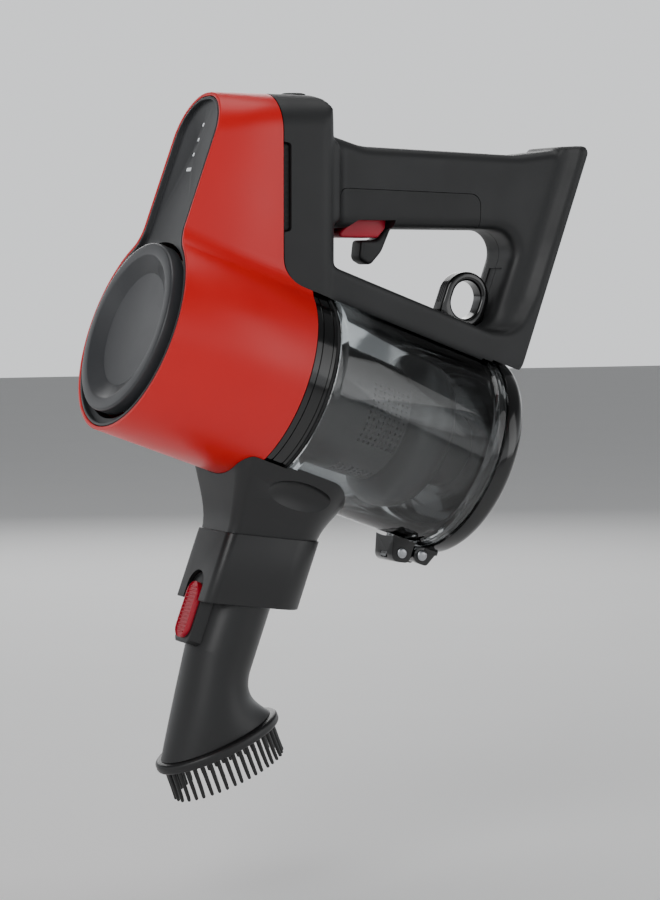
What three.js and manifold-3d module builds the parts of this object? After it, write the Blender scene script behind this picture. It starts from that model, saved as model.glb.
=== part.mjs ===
// Hand unit of a cordless stick vacuum cleaner with a dusting brush fitted.
//
// Machine axes, in millimetres: X runs along the suction cylinder from the
// front fascia (x = 0) to the bin lid, Z points away from the inlet tube, and
// y = 0 is the plane of symmetry. up(x, z) gives a point in axes turned by
// TILT, in which the hand grip lies level. The whole machine is tilted the same
// way in the exported group, so +Z is up and the grip's middle is the origin.

import * as THREE from 'three';
import { mergeVertices } from 'three/addons/utils/BufferGeometryUtils.js';
import Module from 'manifold-3d';

const wasm = await Module();
wasm.setup();

// ---------------------------------------------------------------- dimensions
const GAP = 0.3; // clearance between neighbouring pieces
const WALL = 2.6; // moulded shells
const TILT = THREE.MathUtils.degToRad(20); // grip against cylinder axis

const BODY_R = 53.6; // motor cylinder, outside
const BODY_LENGTH = 76.4; // fascia plane to bin seat ring
const NECK_HALF = 25.5; // half width of the neck above the cylinder
const NECK_TOP = 125.9; // neck crown above the axis, at the fascia
const NECK_FILLET = 14; // neck flank into cylinder
const CROWN_FRONT_R = 24; // roundness of the crown at the fascia
const CROWN_REAR_R = 15; // and at the back of the neck
const SEAM_X = 72.5; // red housing meets grey handle, level axes
const SEAM_R = 16; // seam's bend onto the cylinder
const SEAM_Z = 47.5; // seam's height over the bin

const FASCIA_RIM = 2; // housing edge seen round the fascia
const FASCIA_DISH = 2.6; // depth of the dished panel
const FASCIA_LIP = 1.6;
const FASCIA_T = 2.4;
const CAP_R = 44.3; // round cap over the exhaust filter
const CAP_GROOVE = 2.2; // open groove between cap and fascia
const CAP_FRONT = 3.6; // cap's rim stands this far out
const CAP_DEPTH = 7.5;
const FILTER_IN = 3.3; // exhaust filter inside the cap's edge
const FILTER_T = 16;
const LED_Z = 85.5; // lowest status light
const LED_PITCH = 8;
const LED_COUNT = 4;

const NECK_REAR = 105; // back wall of the neck, level axes
const NECK_CORNER = 10; // its upright corners
const GRIP_HALF = 17; // grip half width
const GRIP_TOP = 92; // level axes
const GRIP_UNDER = 50.5; // level axes
const EDGE_R = 6; // rounded edges of grip and pillar
const REAR_X = 211; // flat rear face of the handle
const BAND_T = 6.5; // flat band along the rear face
const BAND_HALF = 24; // half width of band and base bar
const BAND_EDGE = 3;
const PILLAR_T = 21.5; // rear pillar, front to back
const BAR_TOP = 64.5; // base bar's top above the axis
const BAND_TOP = 95.5; // hump behind the grip, level axes

const SEAT_LENGTH = 12; // black ring that the bin seats on
const BIN_R = 52.4; // clear bin, outside
const BIN_WALL = 2.1;
const BIN_LENGTH = 103.4;
const BIN_LIP_R = 53.8; // its thicker rear ring
const BIN_NOSE_R = 53; // and slimmer front ring
const BIN_LIP = 4;
const SEAL_T = 1.4;
const LID_R = 55;
const LID_T = 11.5;

const SHROUD_R = 31.6; // perforated cyclone shroud
const SHROUD_WALL = 2;
const SHROUD_IN = 43.6; // shroud's open end, in from the bin's rear end
const FOAM_T = 8.2; // premotor filter
const SKIRT_R = 43.4;
const COLLECTOR_R = 22;
const HOLE_D = 2.8; // shroud perforations
const HOLE_PITCH = 5.4;
const HOLE_ROWS = 2;
const HOLE_COLUMNS = 4;

const MOTOR_R = 33.4;
const SHAFT_R = 4;
const IMPELLER_R = 33;
const CELL_R = 9.1; // 18650 cell
const CELL_L = 65;
const CELL_FOOT = 42.5; // lower ends of the cells, level axes

const SLEEVE_FRONT = 77; // inlet sleeve: flat front
const SLEEVE_REAR = 135; // and round back
const SLEEVE_HALF = 20;
const SLEEVE_TOP = -76; // step under the flared saddle, at the spigot axis
const SLEEVE_LENGTH = 37;
const MOUTH_SLANT = THREE.MathUtils.degToRad(12);
const SADDLE_HALF = 37; // saddle's half width on the bin
const SPIGOT_X = 102; // tool socket axis
const SPIGOT_R = 18;
const SPIGOT_IN = 33; // tool neck inside the sleeve
const SOCKET_WALL = 2.5;
const DUCT_R = 15.5;

const TOOL_NECK_END = -141; // where the neck starts to flare
const BRUSH_TILT = THREE.MathUtils.degToRad(41);
const BRUSH_X = 114.5; // middle of the brush rim's upper face
const BRUSH_Z = -180.5;
const BRUSH_LENGTH = 70;
const BRUSH_WIDTH = 47;
const RIM_T = 5.5;
const BRISTLE_D = 2.4;
const BRISTLE_L = 17;
const BRISTLE_COUNT = 38;
const BLOCK_HALF = 8.5; // release button's housing on the tool
const BLOCK_FRONT = 79;
const BLOCK_TOP = -107;
const BLOCK_BOTTOM = -140.5;
const BUTTON_HALF = 6.5;
const BUTTON_OUT = 2.6;

const HINGE_IN = 0.4; // lid's hinge pin, in from the bin's rear end
const HINGE_Z = -58.3;
const BRACKET_IN = 12.5; // bracket pin, in from the bin's rear end
const BRACKET_Z = -60.6;
const KNUCKLE_R = 4.6;
const PIN_R = 1.6;

const TRIGGER_FRONT = 110.5; // level axes
const TRIGGER_REAR = 136;
const TRIGGER_LOW = 45.8;
const TRIGGER_HALF = 9;
const MODE_X = 90.7; // mode button on the crown, level axes
const MODE_R = 7;
const RING_IN = 18.1; // bin release ring's centre, in from the bin's rear end
const RING_Z = 79;
const RING_R = 13.4;
const RING_HOLE = 8.6;
const RING_HALF = 5;
const SCREW_R = 1.5;
const JACK_Z = 84; // charging socket on the rear face

const GRIP_CENTRE = [170, 71]; // the part's origin, level axes

const BIN_START = BODY_LENGTH + GAP + SEAT_LENGTH + GAP + SEAL_T + GAP;
const BIN_END = BIN_START + BIN_LENGTH;
const LID_START = BIN_END + GAP;
const HINGE_X = BIN_END - HINGE_IN;
const BRACKET_X = BIN_END - BRACKET_IN;
const RING_X = BIN_END - RING_IN;
const FILTER_R = CAP_R - FILTER_IN;
const SHROUD_END = BIN_END - SHROUD_IN;
const SADDLE_R = BIN_R + GAP;
const BAR_R = BODY_R - 0.3; // hollow under the base bar, over ring and bin
const SOCKET_R = SPIGOT_R + GAP;
const WEB_X = BODY_LENGTH + GAP;

// ----------------------------------------------------------------- materials
const plastic = (color, roughness) =>
  new THREE.MeshStandardMaterial({ color, roughness, metalness: 0 });
const metal = (color, roughness) =>
  new THREE.MeshStandardMaterial({ color, roughness, metalness: 1 });

const RED = plastic(0xd40008, 0.25);
const CRIMSON = plastic(0xb80a30, 0.4);
const DARK = plastic(0x2e2f31, 0.5);
const FASCIA_GREY = plastic(0x4a4a4c, 0.35);
const BLACK = plastic(0x0c0c0d, 0.12);
const CAP_GREY = plastic(0x5c5d5f, 0.4);
const CLEAR = new THREE.MeshStandardMaterial({
  color: 0xb9bdc0, roughness: 0.05, metalness: 0, transparent: true, opacity: 0.3,
});
const FROSTED = plastic(0xe8e8e8, 0.4);
const RUBBER = plastic(0x18181a, 0.85);
const FOAM = plastic(0x50555c, 0.95);
const PAPER = plastic(0xe6e2d6, 0.9);
const NYLON = plastic(0x141415, 0.45);
const CELL_WRAP = plastic(0x2a8fa8, 0.4);
const BOARD = plastic(0x14532d, 0.5);
const STEEL = metal(0xb4b6b8, 0.3);
const LAMINATION = metal(0x8a8d90, 0.45);
const ALUMINIUM = metal(0xc6c8ca, 0.35);

// ------------------------------------------------------------------- helpers
const vec = (x, y, z) => new THREE.Vector3(x, y, z);
const point = (x, y) => new THREE.Vector2(x, y);

// A point of the side view given in level axes, as machine x and z.
function up(x, z) {
  const c = Math.cos(TILT);
  const s = Math.sin(TILT);
  return point(x * c - z * s, x * s + z * c);
}

// A closed geometry as a solid, with its faces turned outwards.
function solid(geometry) {
  const bare = geometry.clone();
  bare.deleteAttribute('normal');
  bare.deleteAttribute('uv');
  const merged = mergeVertices(bare, 1e-4);
  const p = merged.attributes.position;
  const tris = [];
  let volume = 0;
  const [a, b, c] = [vec(), vec(), vec()];
  for (let i = 0; i < merged.index.count; i += 3) {
    const t = [0, 1, 2].map((k) => merged.index.getX(i + k));
    if (t[0] === t[1] || t[1] === t[2] || t[2] === t[0]) continue;
    a.fromBufferAttribute(p, t[0]);
    b.fromBufferAttribute(p, t[1]);
    c.fromBufferAttribute(p, t[2]);
    volume += a.dot(b.cross(c));
    tris.push(t);
  }
  const triVerts = new Uint32Array((volume < 0 ? tris.map((t) => t.reverse()) : tris).flat());
  const vertProperties = new Float32Array(p.array);
  return new wasm.Manifold(new wasm.Mesh({ numProp: 3, vertProperties, triVerts }));
}

// Ring or disc about the X axis, from [x, radius] pairs.
function latheX(profile, segments = 28, closed = true) {
  const points = profile.map(([x, r]) => point(r, x));
  if (closed) points.push(points[0].clone());
  return solid(new THREE.LatheGeometry(points, segments).rotateZ(-Math.PI / 2));
}

// Tube about the X axis.
const ringX = (x0, x1, r0, r1, segments = 28) =>
  latheX([[x0, r0], [x1, r0], [x1, r1], [x0, r1]], segments);

// Plain cylinder about the X axis.
const discX = (x0, x1, r, segments = 28) =>
  latheX([[x0, 0], [x0, r], [x1, r], [x1, 0]], segments, false);

// Cylinder along Y or Z through (x, z) or (x, y).
function rodY(x, z, r, y0, y1, segments = 20) {
  const rod = new THREE.CylinderGeometry(r, r, y1 - y0, segments);
  return solid(rod.translate(x, (y0 + y1) / 2, z));
}
function rodZ(x, y, r, z0, z1, segments = 28) {
  const rod = new THREE.CylinderGeometry(r, r, z1 - z0, segments).rotateX(Math.PI / 2);
  return solid(rod.translate(x, y, (z0 + z1) / 2));
}

// Box from its two corners.
function block(x0, x1, y0, y1, z0, z1) {
  const box = new THREE.BoxGeometry(x1 - x0, y1 - y0, z1 - z0);
  return solid(box.translate((x0 + x1) / 2, (y0 + y1) / 2, (z0 + z1) / 2));
}

// Side-view shape run across the machine from -half to +half. edge rounds the
// outer edges, inset draws the whole body in.
function acrossY(shape, half, edge = 0, inset = 0) {
  const depth = 2 * (half - inset - edge);
  const geometry = new THREE.ExtrudeGeometry(shape, {
    depth,
    curveSegments: 2,
    bevelEnabled: edge > 0 || inset > 0,
    bevelThickness: edge,
    bevelSize: edge,
    bevelOffset: -edge - inset,
    bevelSegments: edge > 3 && inset === 0 ? 2 : 1,
  });
  return solid(geometry.translate(0, 0, -depth / 2).rotateX(Math.PI / 2));
}

// Closed shape through corner points, each bent to its own radius.
// Corners are [Vector2, radius] and may run either way round.
function roundedShape(given) {
  const clockwise = THREE.ShapeUtils.isClockWise(given.map(([p]) => p));
  const corners = clockwise ? [...given].reverse() : given;
  const shape = new THREE.Shape();
  corners.forEach(([p, r], i) => {
    const before = corners[(i + corners.length - 1) % corners.length][0];
    const after = corners[(i + 1) % corners.length][0];
    const a = before.clone().sub(p).normalize();
    const b = after.clone().sub(p).normalize();
    const half = Math.acos(THREE.MathUtils.clamp(a.dot(b), -1, 1)) / 2;
    const reach = r / Math.tan(half);
    const start = a.multiplyScalar(reach).add(p);
    if (i === 0) shape.moveTo(start.x, start.y);
    else shape.lineTo(start.x, start.y);
    if (r > 0) {
      const end = b.multiplyScalar(reach).add(p);
      const middle = start.clone().add(end).multiplyScalar(0.5);
      const centre = middle.clone().sub(p).setLength(r / Math.sin(half)).add(p);
      const from = start.clone().sub(centre).angle();
      const to = end.clone().sub(centre).angle();
      shape.absarc(centre.x, centre.y, r, from, to, Math.sin(to - from) < 0);
    }
  });
  shape.closePath();
  return shape;
}

// Body through a row of outlines with the same number of points; place turns
// an outline's point into its place in the machine.
function loft(outlines, place) {
  const n = outlines[0].length;
  const positions = outlines.flatMap((o, i) => o.flatMap((p) => place(p, i).toArray()));
  const index = [];
  for (let i = 0; i + 1 < outlines.length; i += 1) {
    for (let j = 0; j < n; j += 1) {
      const a = i * n + j;
      const b = i * n + ((j + 1) % n);
      index.push(a, b, b + n, a, b + n, a + n);
    }
  }
  const last = (outlines.length - 1) * n;
  for (const [a, b, c] of THREE.ShapeUtils.triangulateShape(outlines[0], [])) {
    index.push(c, b, a);
  }
  for (const [a, b, c] of THREE.ShapeUtils.triangulateShape(outlines.at(-1), [])) {
    index.push(last + a, last + b, last + c);
  }
  const geometry = new THREE.BufferGeometry();
  geometry.setAttribute('position', new THREE.Float32BufferAttribute(positions, 3));
  geometry.setIndex(index);
  return solid(geometry);
}

// Points of an arc, ends included, angles in degrees.
function arc(cx, cy, r, from, to, steps) {
  return Array.from({ length: steps + 1 }, (_, i) => {
    const a = THREE.MathUtils.degToRad(from + ((to - from) * i) / steps);
    return point(cx + r * Math.cos(a), cy + r * Math.sin(a));
  });
}

const unite = (...solids) => solids.reduce((sum, s) => sum.add(s));
const without = (base, ...cuts) => cuts.reduce((rest, s) => rest.subtract(s), base);

// Coil spring along Z, drawn as one closed tube.
function coil(x, y, z0, z1, r, wire, turns) {
  class Helix extends THREE.Curve {
    getPoint(t, target = vec()) {
      const a = t * turns * Math.PI * 2;
      const rise = z0 + wire + (z1 - z0 - 2 * wire) * t;
      return target.set(x + r * Math.cos(a), y + r * Math.sin(a), rise);
    }
  }
  const section = new THREE.Shape(arc(0, 0, wire, 0, 270, 3));
  const geometry = new THREE.ExtrudeGeometry(section, {
    steps: turns * 6,
    extrudePath: new Helix(),
  });
  return solid(geometry);
}

const level = new THREE.Matrix4().makeRotationY(-TILT);
const turned = (body, matrix) => body.transform(matrix.elements);
// A body drawn in level axes, brought into machine axes.
const levelled = (body) => turned(body, level);

const root = new THREE.Group();
function node(name, body, material) {
  const { numProp, vertProperties, triVerts } = body.getMesh();
  const positions = new Float32Array((vertProperties.length / numProp) * 3);
  for (let i = 0; i < positions.length / 3; i += 1) {
    for (let k = 0; k < 3; k += 1) positions[i * 3 + k] = vertProperties[i * numProp + k];
  }
  const geometry = new THREE.BufferGeometry();
  geometry.setAttribute('position', new THREE.BufferAttribute(positions, 3));
  geometry.setIndex(new THREE.BufferAttribute(new Uint32Array(triVerts), 1));
  geometry.computeVertexNormals();
  const mesh = new THREE.Mesh(geometry, material);
  mesh.name = name;
  root.add(mesh);
}

// ------------------------------------------- teardrop body: housing and neck
// Section of cylinder and neck at one x, drawn in by inset: y across, z up.
function teardrop(x, inset) {
  const r = BODY_R - inset;
  const w = NECK_HALF - inset;
  const top = NECK_TOP + x * Math.tan(TILT) - inset;
  const share = THREE.MathUtils.clamp(x / BODY_LENGTH, 0, 1);
  const crown = Math.min(w - 0.5, THREE.MathUtils.lerp(CROWN_FRONT_R, CROWN_REAR_R, share) - inset);
  const f = NECK_FILLET + inset;
  const fz = Math.sqrt((r + f) ** 2 - (w + f) ** 2);
  const meet = THREE.MathUtils.radToDeg(Math.atan2(fz, w + f));
  return [
    ...arc(0, 0, r, meet - 360 + (180 - 2 * meet), meet, 24).slice(0, -1),
    ...arc(w + f, fz, f, meet + 180, 180, 3),
    ...arc(w - crown, top - crown, crown, 0, 90, 5),
    ...arc(crown - w, top - crown, crown, 90, 180, 5),
    ...arc(-w - f, fz, f, 0, -meet, 3).slice(0, -1),
  ];
}

// The teardrop as a body from x0 to x1.
const teardropBody = (x0, x1, inset) =>
  loft([x0, x1].map((x) => teardrop(x, inset)), (p, i) => vec(i ? x1 : x0, p.x, p.y));

// Everything behind the seam between red housing and grey handle, the seam
// moved back by shift.
function behindSeam(shift) {
  const corner = up(SEAM_X + shift, 0);
  const direction = up(0, 1);
  const z = SEAM_Z + shift;
  const foot = corner.clone().add(direction.multiplyScalar((z - corner.y) / direction.y));
  const shape = roundedShape([
    [up(SEAM_X + shift, 170), 0],
    [foot, SEAM_R],
    [point(BODY_LENGTH + 300, z), 0],
    [point(BODY_LENGTH + 300, 300), 0],
  ]);
  return acrossY(shape, 60);
}

function motorHousing() {
  const shell = without(teardropBody(0, 120, 0), teardropBody(-1, 121, WALL));
  const fasciaSeat = teardropBody(-1, FASCIA_DISH + FASCIA_T + GAP, FASCIA_RIM);
  const rear = block(BODY_LENGTH, 200, -80, 80, -80, SEAM_Z);
  return without(shell, behindSeam(0), rear, fasciaSeat);
}

function frontFascia() {
  const back = FASCIA_DISH + FASCIA_T;
  const body = teardropBody(0, back, FASCIA_RIM + GAP);
  const dish = teardropBody(-1, FASCIA_DISH, FASCIA_RIM + GAP + FASCIA_LIP);
  const opening = discX(-1, back + 1, CAP_R + CAP_GROOVE);
  const collar = ringX(back - 0.5, back + 6, CAP_R + CAP_GROOVE, CAP_R + CAP_GROOVE + 2);
  const lights = Array.from({ length: LED_COUNT }, (_, i) => ledSlot(i, 0.25));
  return without(unite(without(body, dish, opening), collar), ...lights);
}

// One status light's slot, grown by extra.
function ledSlot(i, extra) {
  const z = LED_Z + i * LED_PITCH;
  const half = i === 0 ? 2.6 : 0.9;
  return block(-1, 12, -half - extra, half + extra, z - 0.9 - extra, z + 0.9 + extra);
}

function ledLightPipe() {
  const back = FASCIA_DISH + FASCIA_T + GAP;
  const top = LED_Z + (LED_COUNT - 1) * LED_PITCH + 3;
  const bar = block(back, back + 2, -4, 4, LED_Z - 3, top);
  const front = block(FASCIA_DISH + 0.2, back + 1, -9, 9, LED_Z - 9, top + 9);
  const studs = Array.from({ length: LED_COUNT }, (_, i) => ledSlot(i, 0).intersect(front));
  return unite(bar, ...studs);
}

// Dished round cap with a rolled rim, and a short skirt behind it.
function filterCap() {
  const rim = CAP_R - 4;
  return latheX([
    [0.6, 0], [0.6, rim - 9], [-0.6, rim - 6],
    ...arc(-CAP_FRONT + 4, rim, 4, 205, 90, 3).map((p) => [p.x, p.y]),
    [CAP_DEPTH - CAP_FRONT, CAP_R], [CAP_DEPTH - CAP_FRONT, CAP_R - 2.4],
    [3, CAP_R - 4.4], [3, 0],
  ], 36, false);
}

function exhaustFilter() {
  const x0 = CAP_DEPTH - CAP_FRONT + GAP;
  return latheX([
    [x0 + 1.5, 8], [x0 + 1.5, 12], [x0, 14], [x0, FILTER_R],
    [x0 + FILTER_T, FILTER_R], [x0 + FILTER_T, 8],
  ], 28);
}

// ---------------------------------------------------------------- motor unit
function motorCasing() {
  return latheX([
    [22.7, 6], [22.7, MOTOR_R], [58.9, MOTOR_R], [58.9, MOTOR_R - 2],
    [25, MOTOR_R - 2], [25, 12], [29.2, 12], [29.2, 9.3], [25, 9.3], [25, 6],
  ], 24);
}
const motorStator = () => ringX(30, 54, SHAFT_R + 10.5, MOTOR_R - 2.3, 24);
const motorEndPlate = () => ringX(54.6, 58.6, 9.3, MOTOR_R - 2.3, 24);
const bearing = (x) => ringX(x, x + 3.8, SHAFT_R + GAP, 9, 20);

function motorRotor() {
  return latheX([
    [24, 0], [24, SHAFT_R], [30.6, SHAFT_R], [30.6, SHAFT_R + 10], [53.4, SHAFT_R + 10],
    [53.4, SHAFT_R], [70, SHAFT_R], [70, 0],
  ], 20, false);
}

function impeller() {
  const hub = latheX([
    [60.4, SHAFT_R + GAP], [60.4, IMPELLER_R], [61.8, IMPELLER_R], [63, 16], [68.6, 8],
    [68.6, SHAFT_R + GAP],
  ], 20);
  const blades = Array.from({ length: 9 }, (_, i) => {
    const blade = new THREE.BoxGeometry(7, 1.4, IMPELLER_R - 9);
    blade.translate(0, 0, (IMPELLER_R + 8) / 2).rotateX(0.5);
    blade.translate(64.6, 0, 0).rotateX((i * Math.PI * 2) / 9);
    return solid(blade);
  });
  const limit = discX(60, 68.2, IMPELLER_R - 0.2);
  return unite(hub, ...blades.map((b) => b.intersect(limit).subtract(discX(50, 80, 7, 20))));
}

function fanShroud() {
  return latheX([
    [59.2, MOTOR_R], [59.2, MOTOR_R + 2], [71.6, MOTOR_R + 2], [75.6, 20], [75.6, 16],
    [70.4, 16], [69.6, MOTOR_R],
  ], 24);
}

function motorMount() {
  const ring = ringX(38, 45, MOTOR_R + GAP, BODY_R - WALL - GAP, 24);
  const holes = Array.from({ length: 8 }, (_, i) => {
    const hole = new THREE.CylinderGeometry(4.6, 4.6, 20, 8).rotateZ(Math.PI / 2);
    hole.translate(41.5, 0, (MOTOR_R + BODY_R) / 2 - 1);
    return solid(hole.rotateX((i * Math.PI) / 4));
  });
  return without(ring, ...holes);
}

// ------------------------------------------- bin seat, filter and cyclone
function binSeatRing() {
  const back = WEB_X + SEAT_LENGTH;
  const ring = latheX([
    [WEB_X, 20], [WEB_X, BODY_R - 0.9], [back, BODY_R - 0.9], [back, 48.6],
    [WEB_X + 2.4, 48.6], [WEB_X + 2.4, 20],
  ]);
  return without(ring, block(0, 200, -40, 40, BAR_R - 3, 80));
}

const binSeal = () => ringX(WEB_X + SEAT_LENGTH + GAP, BIN_START - GAP, 49.2, 52.4);
const premotorFilter = () => ringX(WEB_X + 2.4 + GAP, WEB_X + 2.4 + GAP + FOAM_T, 6, 48.3);

function cycloneShroud() {
  const x = WEB_X + SEAT_LENGTH + GAP;
  const tube = latheX([
    [x, SHROUD_R - SHROUD_WALL], [x, 48.6], [x + 3.6, 48.6], [x + 3.6, SHROUD_R],
    [SHROUD_END, SHROUD_R], [SHROUD_END, SHROUD_R - SHROUD_WALL],
  ]);
  return without(tube, ...shroudHoles());
}

// Four staggered patches of small holes round the shroud.
function shroudHoles() {
  const step = THREE.MathUtils.radToDeg(HOLE_PITCH / SHROUD_R);
  const holes = [];
  for (let patch = 0; patch < 4; patch += 1) {
    for (let row = 0; row < HOLE_ROWS; row += 1) {
      for (let column = 0; column < HOLE_COLUMNS; column += 1) {
        const x = SHROUD_END - 22.5 + column * HOLE_PITCH + (row % 2) * (HOLE_PITCH / 2);
        const turn = patch * 90 - 90 + (row - (HOLE_ROWS - 1) / 2) * step;
        const hole = new THREE.CylinderGeometry(HOLE_D / 2, HOLE_D / 2, 6, 4);
        hole.rotateX(Math.PI / 2).translate(x, 0, SHROUD_R - 1);
        holes.push(solid(hole.rotateX(THREE.MathUtils.degToRad(turn))));
      }
    }
  }
  return holes;
}

function cycloneSkirt() {
  const x = SHROUD_END + GAP;
  const outer = [
    [x, SHROUD_R], [x + 4, 39], [x + 9, SKIRT_R - 0.6], [x + 15.5, SKIRT_R],
    [x + 23.5, 38.6], [x + 30, 28], [x + 36.2, COLLECTOR_R],
  ];
  const inner = outer.map(([px, r]) => [px, r - SHROUD_WALL]).reverse();
  return latheX([...outer, ...inner], 28);
}

const collectorTube = () =>
  ringX(SHROUD_END + 36.8, LID_START + 7.6, COLLECTOR_R - SHROUD_WALL, COLLECTOR_R);

const vortexCone = () =>
  latheX([[89, 25], [89, 27], [180, 14], [180, 12]], 20);

// ----------------------------------------------------------------- dust bin
function binShell() {
  const r = BIN_R - BIN_WALL;
  const tube = latheX([
    [BIN_START, r], [BIN_START, BIN_NOSE_R], [BIN_START + BIN_LIP, BIN_NOSE_R],
    [BIN_START + BIN_LIP + 1, BIN_R], [BIN_END - BIN_LIP - 3, BIN_R],
    [BIN_END - BIN_LIP - 1.6, BIN_LIP_R], [BIN_END, BIN_LIP_R], [BIN_END, r],
  ], 36);
  const lug = block(BRACKET_X - 5, BRACKET_X + 5, -3, 3, BRACKET_Z - 4, -BIN_R + 1);
  const inlet = rodZ(SPIGOT_X + 6, 0, DUCT_R - 2, -60, -40);
  const pin = rodY(BRACKET_X, BRACKET_Z, PIN_R + GAP, -5, 5, 16);
  return without(unite(tube, lug), inlet, pin);
}

// Sleeve's section, drawn in by inset: flat front, round back; x, y.
function sleeveSection(inset) {
  const h = SLEEVE_HALF - inset;
  const f = SLEEVE_FRONT + inset;
  const c = 5;
  return [
    ...arc(f + c, -h + c, c, -180, -90, 2),
    ...arc(SLEEVE_REAR - SLEEVE_HALF, 0, h, -90, 90, 12),
    ...arc(f + c, h - c, c, 90, 180, 2),
  ];
}

// Height on the slanted plane through the spigot axis at height z.
const slanted = (x, z) => z + (x - SPIGOT_X) * Math.tan(MOUTH_SLANT);

function inletTube() {
  const sleeve = loft([sleeveSection(0), sleeveSection(0)],
    (p, i) => vec(p.x, p.y, slanted(p.x, SLEEVE_TOP - (i ? 0 : SLEEVE_LENGTH))));
  const saddle = loft([0, 0.25, 0.5, 0.75, 1].map((t) => saddleSection(t)),
    (p, i) => vec(p.x, p.y, THREE.MathUtils.lerp(slanted(p.x, SLEEVE_TOP - 2), -34, i / 4)));
  const bin = discX(40, 200, SADDLE_R, 36);
  const front = discX(40, BIN_START - GAP, BODY_R + GAP, 36);
  const lip = discX(BIN_START - GAP, BIN_START + BIN_LIP + 1.3, BIN_NOSE_R + GAP, 36);
  const socket = rodZ(SPIGOT_X, 0, SOCKET_R, -150, SLEEVE_TOP - SLEEVE_LENGTH + SPIGOT_IN + GAP);
  const duct = rodZ(SPIGOT_X + 6, 0, DUCT_R - 2, -90, -30);
  const plug = rodZ(124.5, 0, 5.5, -130, -96, 20);
  return without(unite(sleeve, saddle), bin, front, lip, socket, duct, plug, blockRecess());
}

// Section of the flared saddle between sleeve (t = 0) and bin (t = 1).
function saddleSection(t) {
  const ease = t * t * (3 - 2 * t);
  const grow = 1 + ease * (SADDLE_HALF / SLEEVE_HALF - 1);
  return sleeveSection(1.2).map((p) => {
    const x = THREE.MathUtils.lerp(p.x, 62 + ((p.x - SLEEVE_FRONT) * 84) / 58, ease);
    return point(x, p.y * grow);
  });
}

// Notch in the sleeve's front that the tool's button housing stands in.
function blockRecess() {
  const h = BLOCK_HALF + GAP;
  const box = block(60, SPIGOT_X, -h, h, -160, BLOCK_TOP - h + GAP + 4);
  const arch = new THREE.CylinderGeometry(h, h, 42, 24).rotateZ(Math.PI / 2);
  return unite(box, solid(arch.translate(SPIGOT_X - 21, 0, BLOCK_TOP - h + GAP + 4)));
}

function hingeBracket() {
  const shape = roundedShape([
    [point(BRACKET_X - 8.5, -BIN_LIP_R + 3), 0],
    [point(BRACKET_X - 4, BRACKET_Z - 6), 4],
    [point(BRACKET_X + 6, BRACKET_Z - 4), 3],
    [point(BRACKET_X + 6.2, -BIN_LIP_R + 3), 0],
  ]);
  const fork = without(acrossY(shape, 9.7), discX(150, 220, BIN_LIP_R + GAP, 36),
    block(BRACKET_X - 5.3, BRACKET_X + 5.3, -3.3, 3.3, BRACKET_Z - 4.3, -40));
  const arm = block(BRACKET_X, HINGE_X, -5.7, 5.7, HINGE_Z - 3, HINGE_Z + 2.6);
  const barrel = rodY(HINGE_X, HINGE_Z, KNUCKLE_R - 0.4, -5.7, 5.7);
  const slot = block(BRACKET_X - 5.3, BRACKET_X + 5.3, -3.3, 3.3, BRACKET_Z - 4.3, -40);
  return without(unite(fork, arm, barrel), slot,
    rodY(HINGE_X, HINGE_Z, PIN_R + GAP, -12, 12, 16),
    rodY(BRACKET_X, BRACKET_Z, PIN_R + GAP, -12, 12, 16));
}

// Pin along Y with a low round head at each end.
function headedPin(x, z) {
  const head = (y) => rodY(x, z, PIN_R + 1.2, y, y + 1.1, 16);
  return unite(rodY(x, z, PIN_R, -11, 11, 16), head(-11.1), head(10));
}

function binLid() {
  const x = LID_START;
  const disc = latheX([
    [x, 0], [x, LID_R], [x + 7.6, LID_R], [x + LID_T, LID_R - 5], [x + LID_T, 0],
  ], 36, false);
  const hollow = discX(x - 1, x + 8, 45, 28);
  const ear = (y) => acrossEar().translate(0, y, 0);
  const pocket = block(x - 1, x + 9.4, -7.3, 7.3, 49, 70);
  const bed = block(x + 1, x + 9, -8.3, 8.3, 43, 49);
  const foot = block(x, x + 8, -10, 10, -LID_R - 1, -50);
  return without(unite(without(disc, hollow), bed, foot, ear(8), ear(-8)), pocket,
    rodY(HINGE_X, HINGE_Z, PIN_R + GAP, -12, 12, 16),
    block(HINGE_X - 6, x + 9, -6, 6, HINGE_Z - 6, HINGE_Z + KNUCKLE_R + 0.4),
    discX(x - 20, x - 0.01, BIN_LIP_R + GAP, 40));
}

// Ear of the lid that holds the hinge pin, centred on y = 0.
function acrossEar() {
  const shape = roundedShape([
    [point(HINGE_X - KNUCKLE_R, HINGE_Z + KNUCKLE_R), KNUCKLE_R - 0.1],
    [point(HINGE_X - KNUCKLE_R, HINGE_Z - KNUCKLE_R), KNUCKLE_R - 0.1],
    [point(HINGE_X + KNUCKLE_R, HINGE_Z - KNUCKLE_R), 2],
    [point(LID_START + 8, -LID_R + 1), 0],
    [point(LID_START + 8, -LID_R + 4), 0],
    [point(LID_START + 0.4, -LID_R + 4), 0],
    [point(LID_START + 0.4, HINGE_Z + KNUCKLE_R), 0],
  ]);
  return acrossY(shape, 1.7);
}

const lidSeal = () => ringX(BIN_END - 2.4, LID_START - 0.2, 47, BIN_R - BIN_WALL - 0.4);

function lidLatch() {
  const x = LID_START + 0.6;
  return unite(
    block(x, x + 8.4, -7, 7, 52.6, 58.8),
    block(x - 2.6, x + 1, -5.5, 5.5, 55.6, 57.4),
  );
}
const lidLatchSpring = () => coil(LID_START + 4.8, 0, 49.1, 52.5, 2.2, 0.35, 4);

const binCatch = () => {
  const body = block(BIN_END - 9, BIN_END - 3.2, -5.5, 5.5, BIN_LIP_R - 3, 57.6);
  return without(body, discX(100, 210, BIN_LIP_R + GAP, 40));
};

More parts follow.
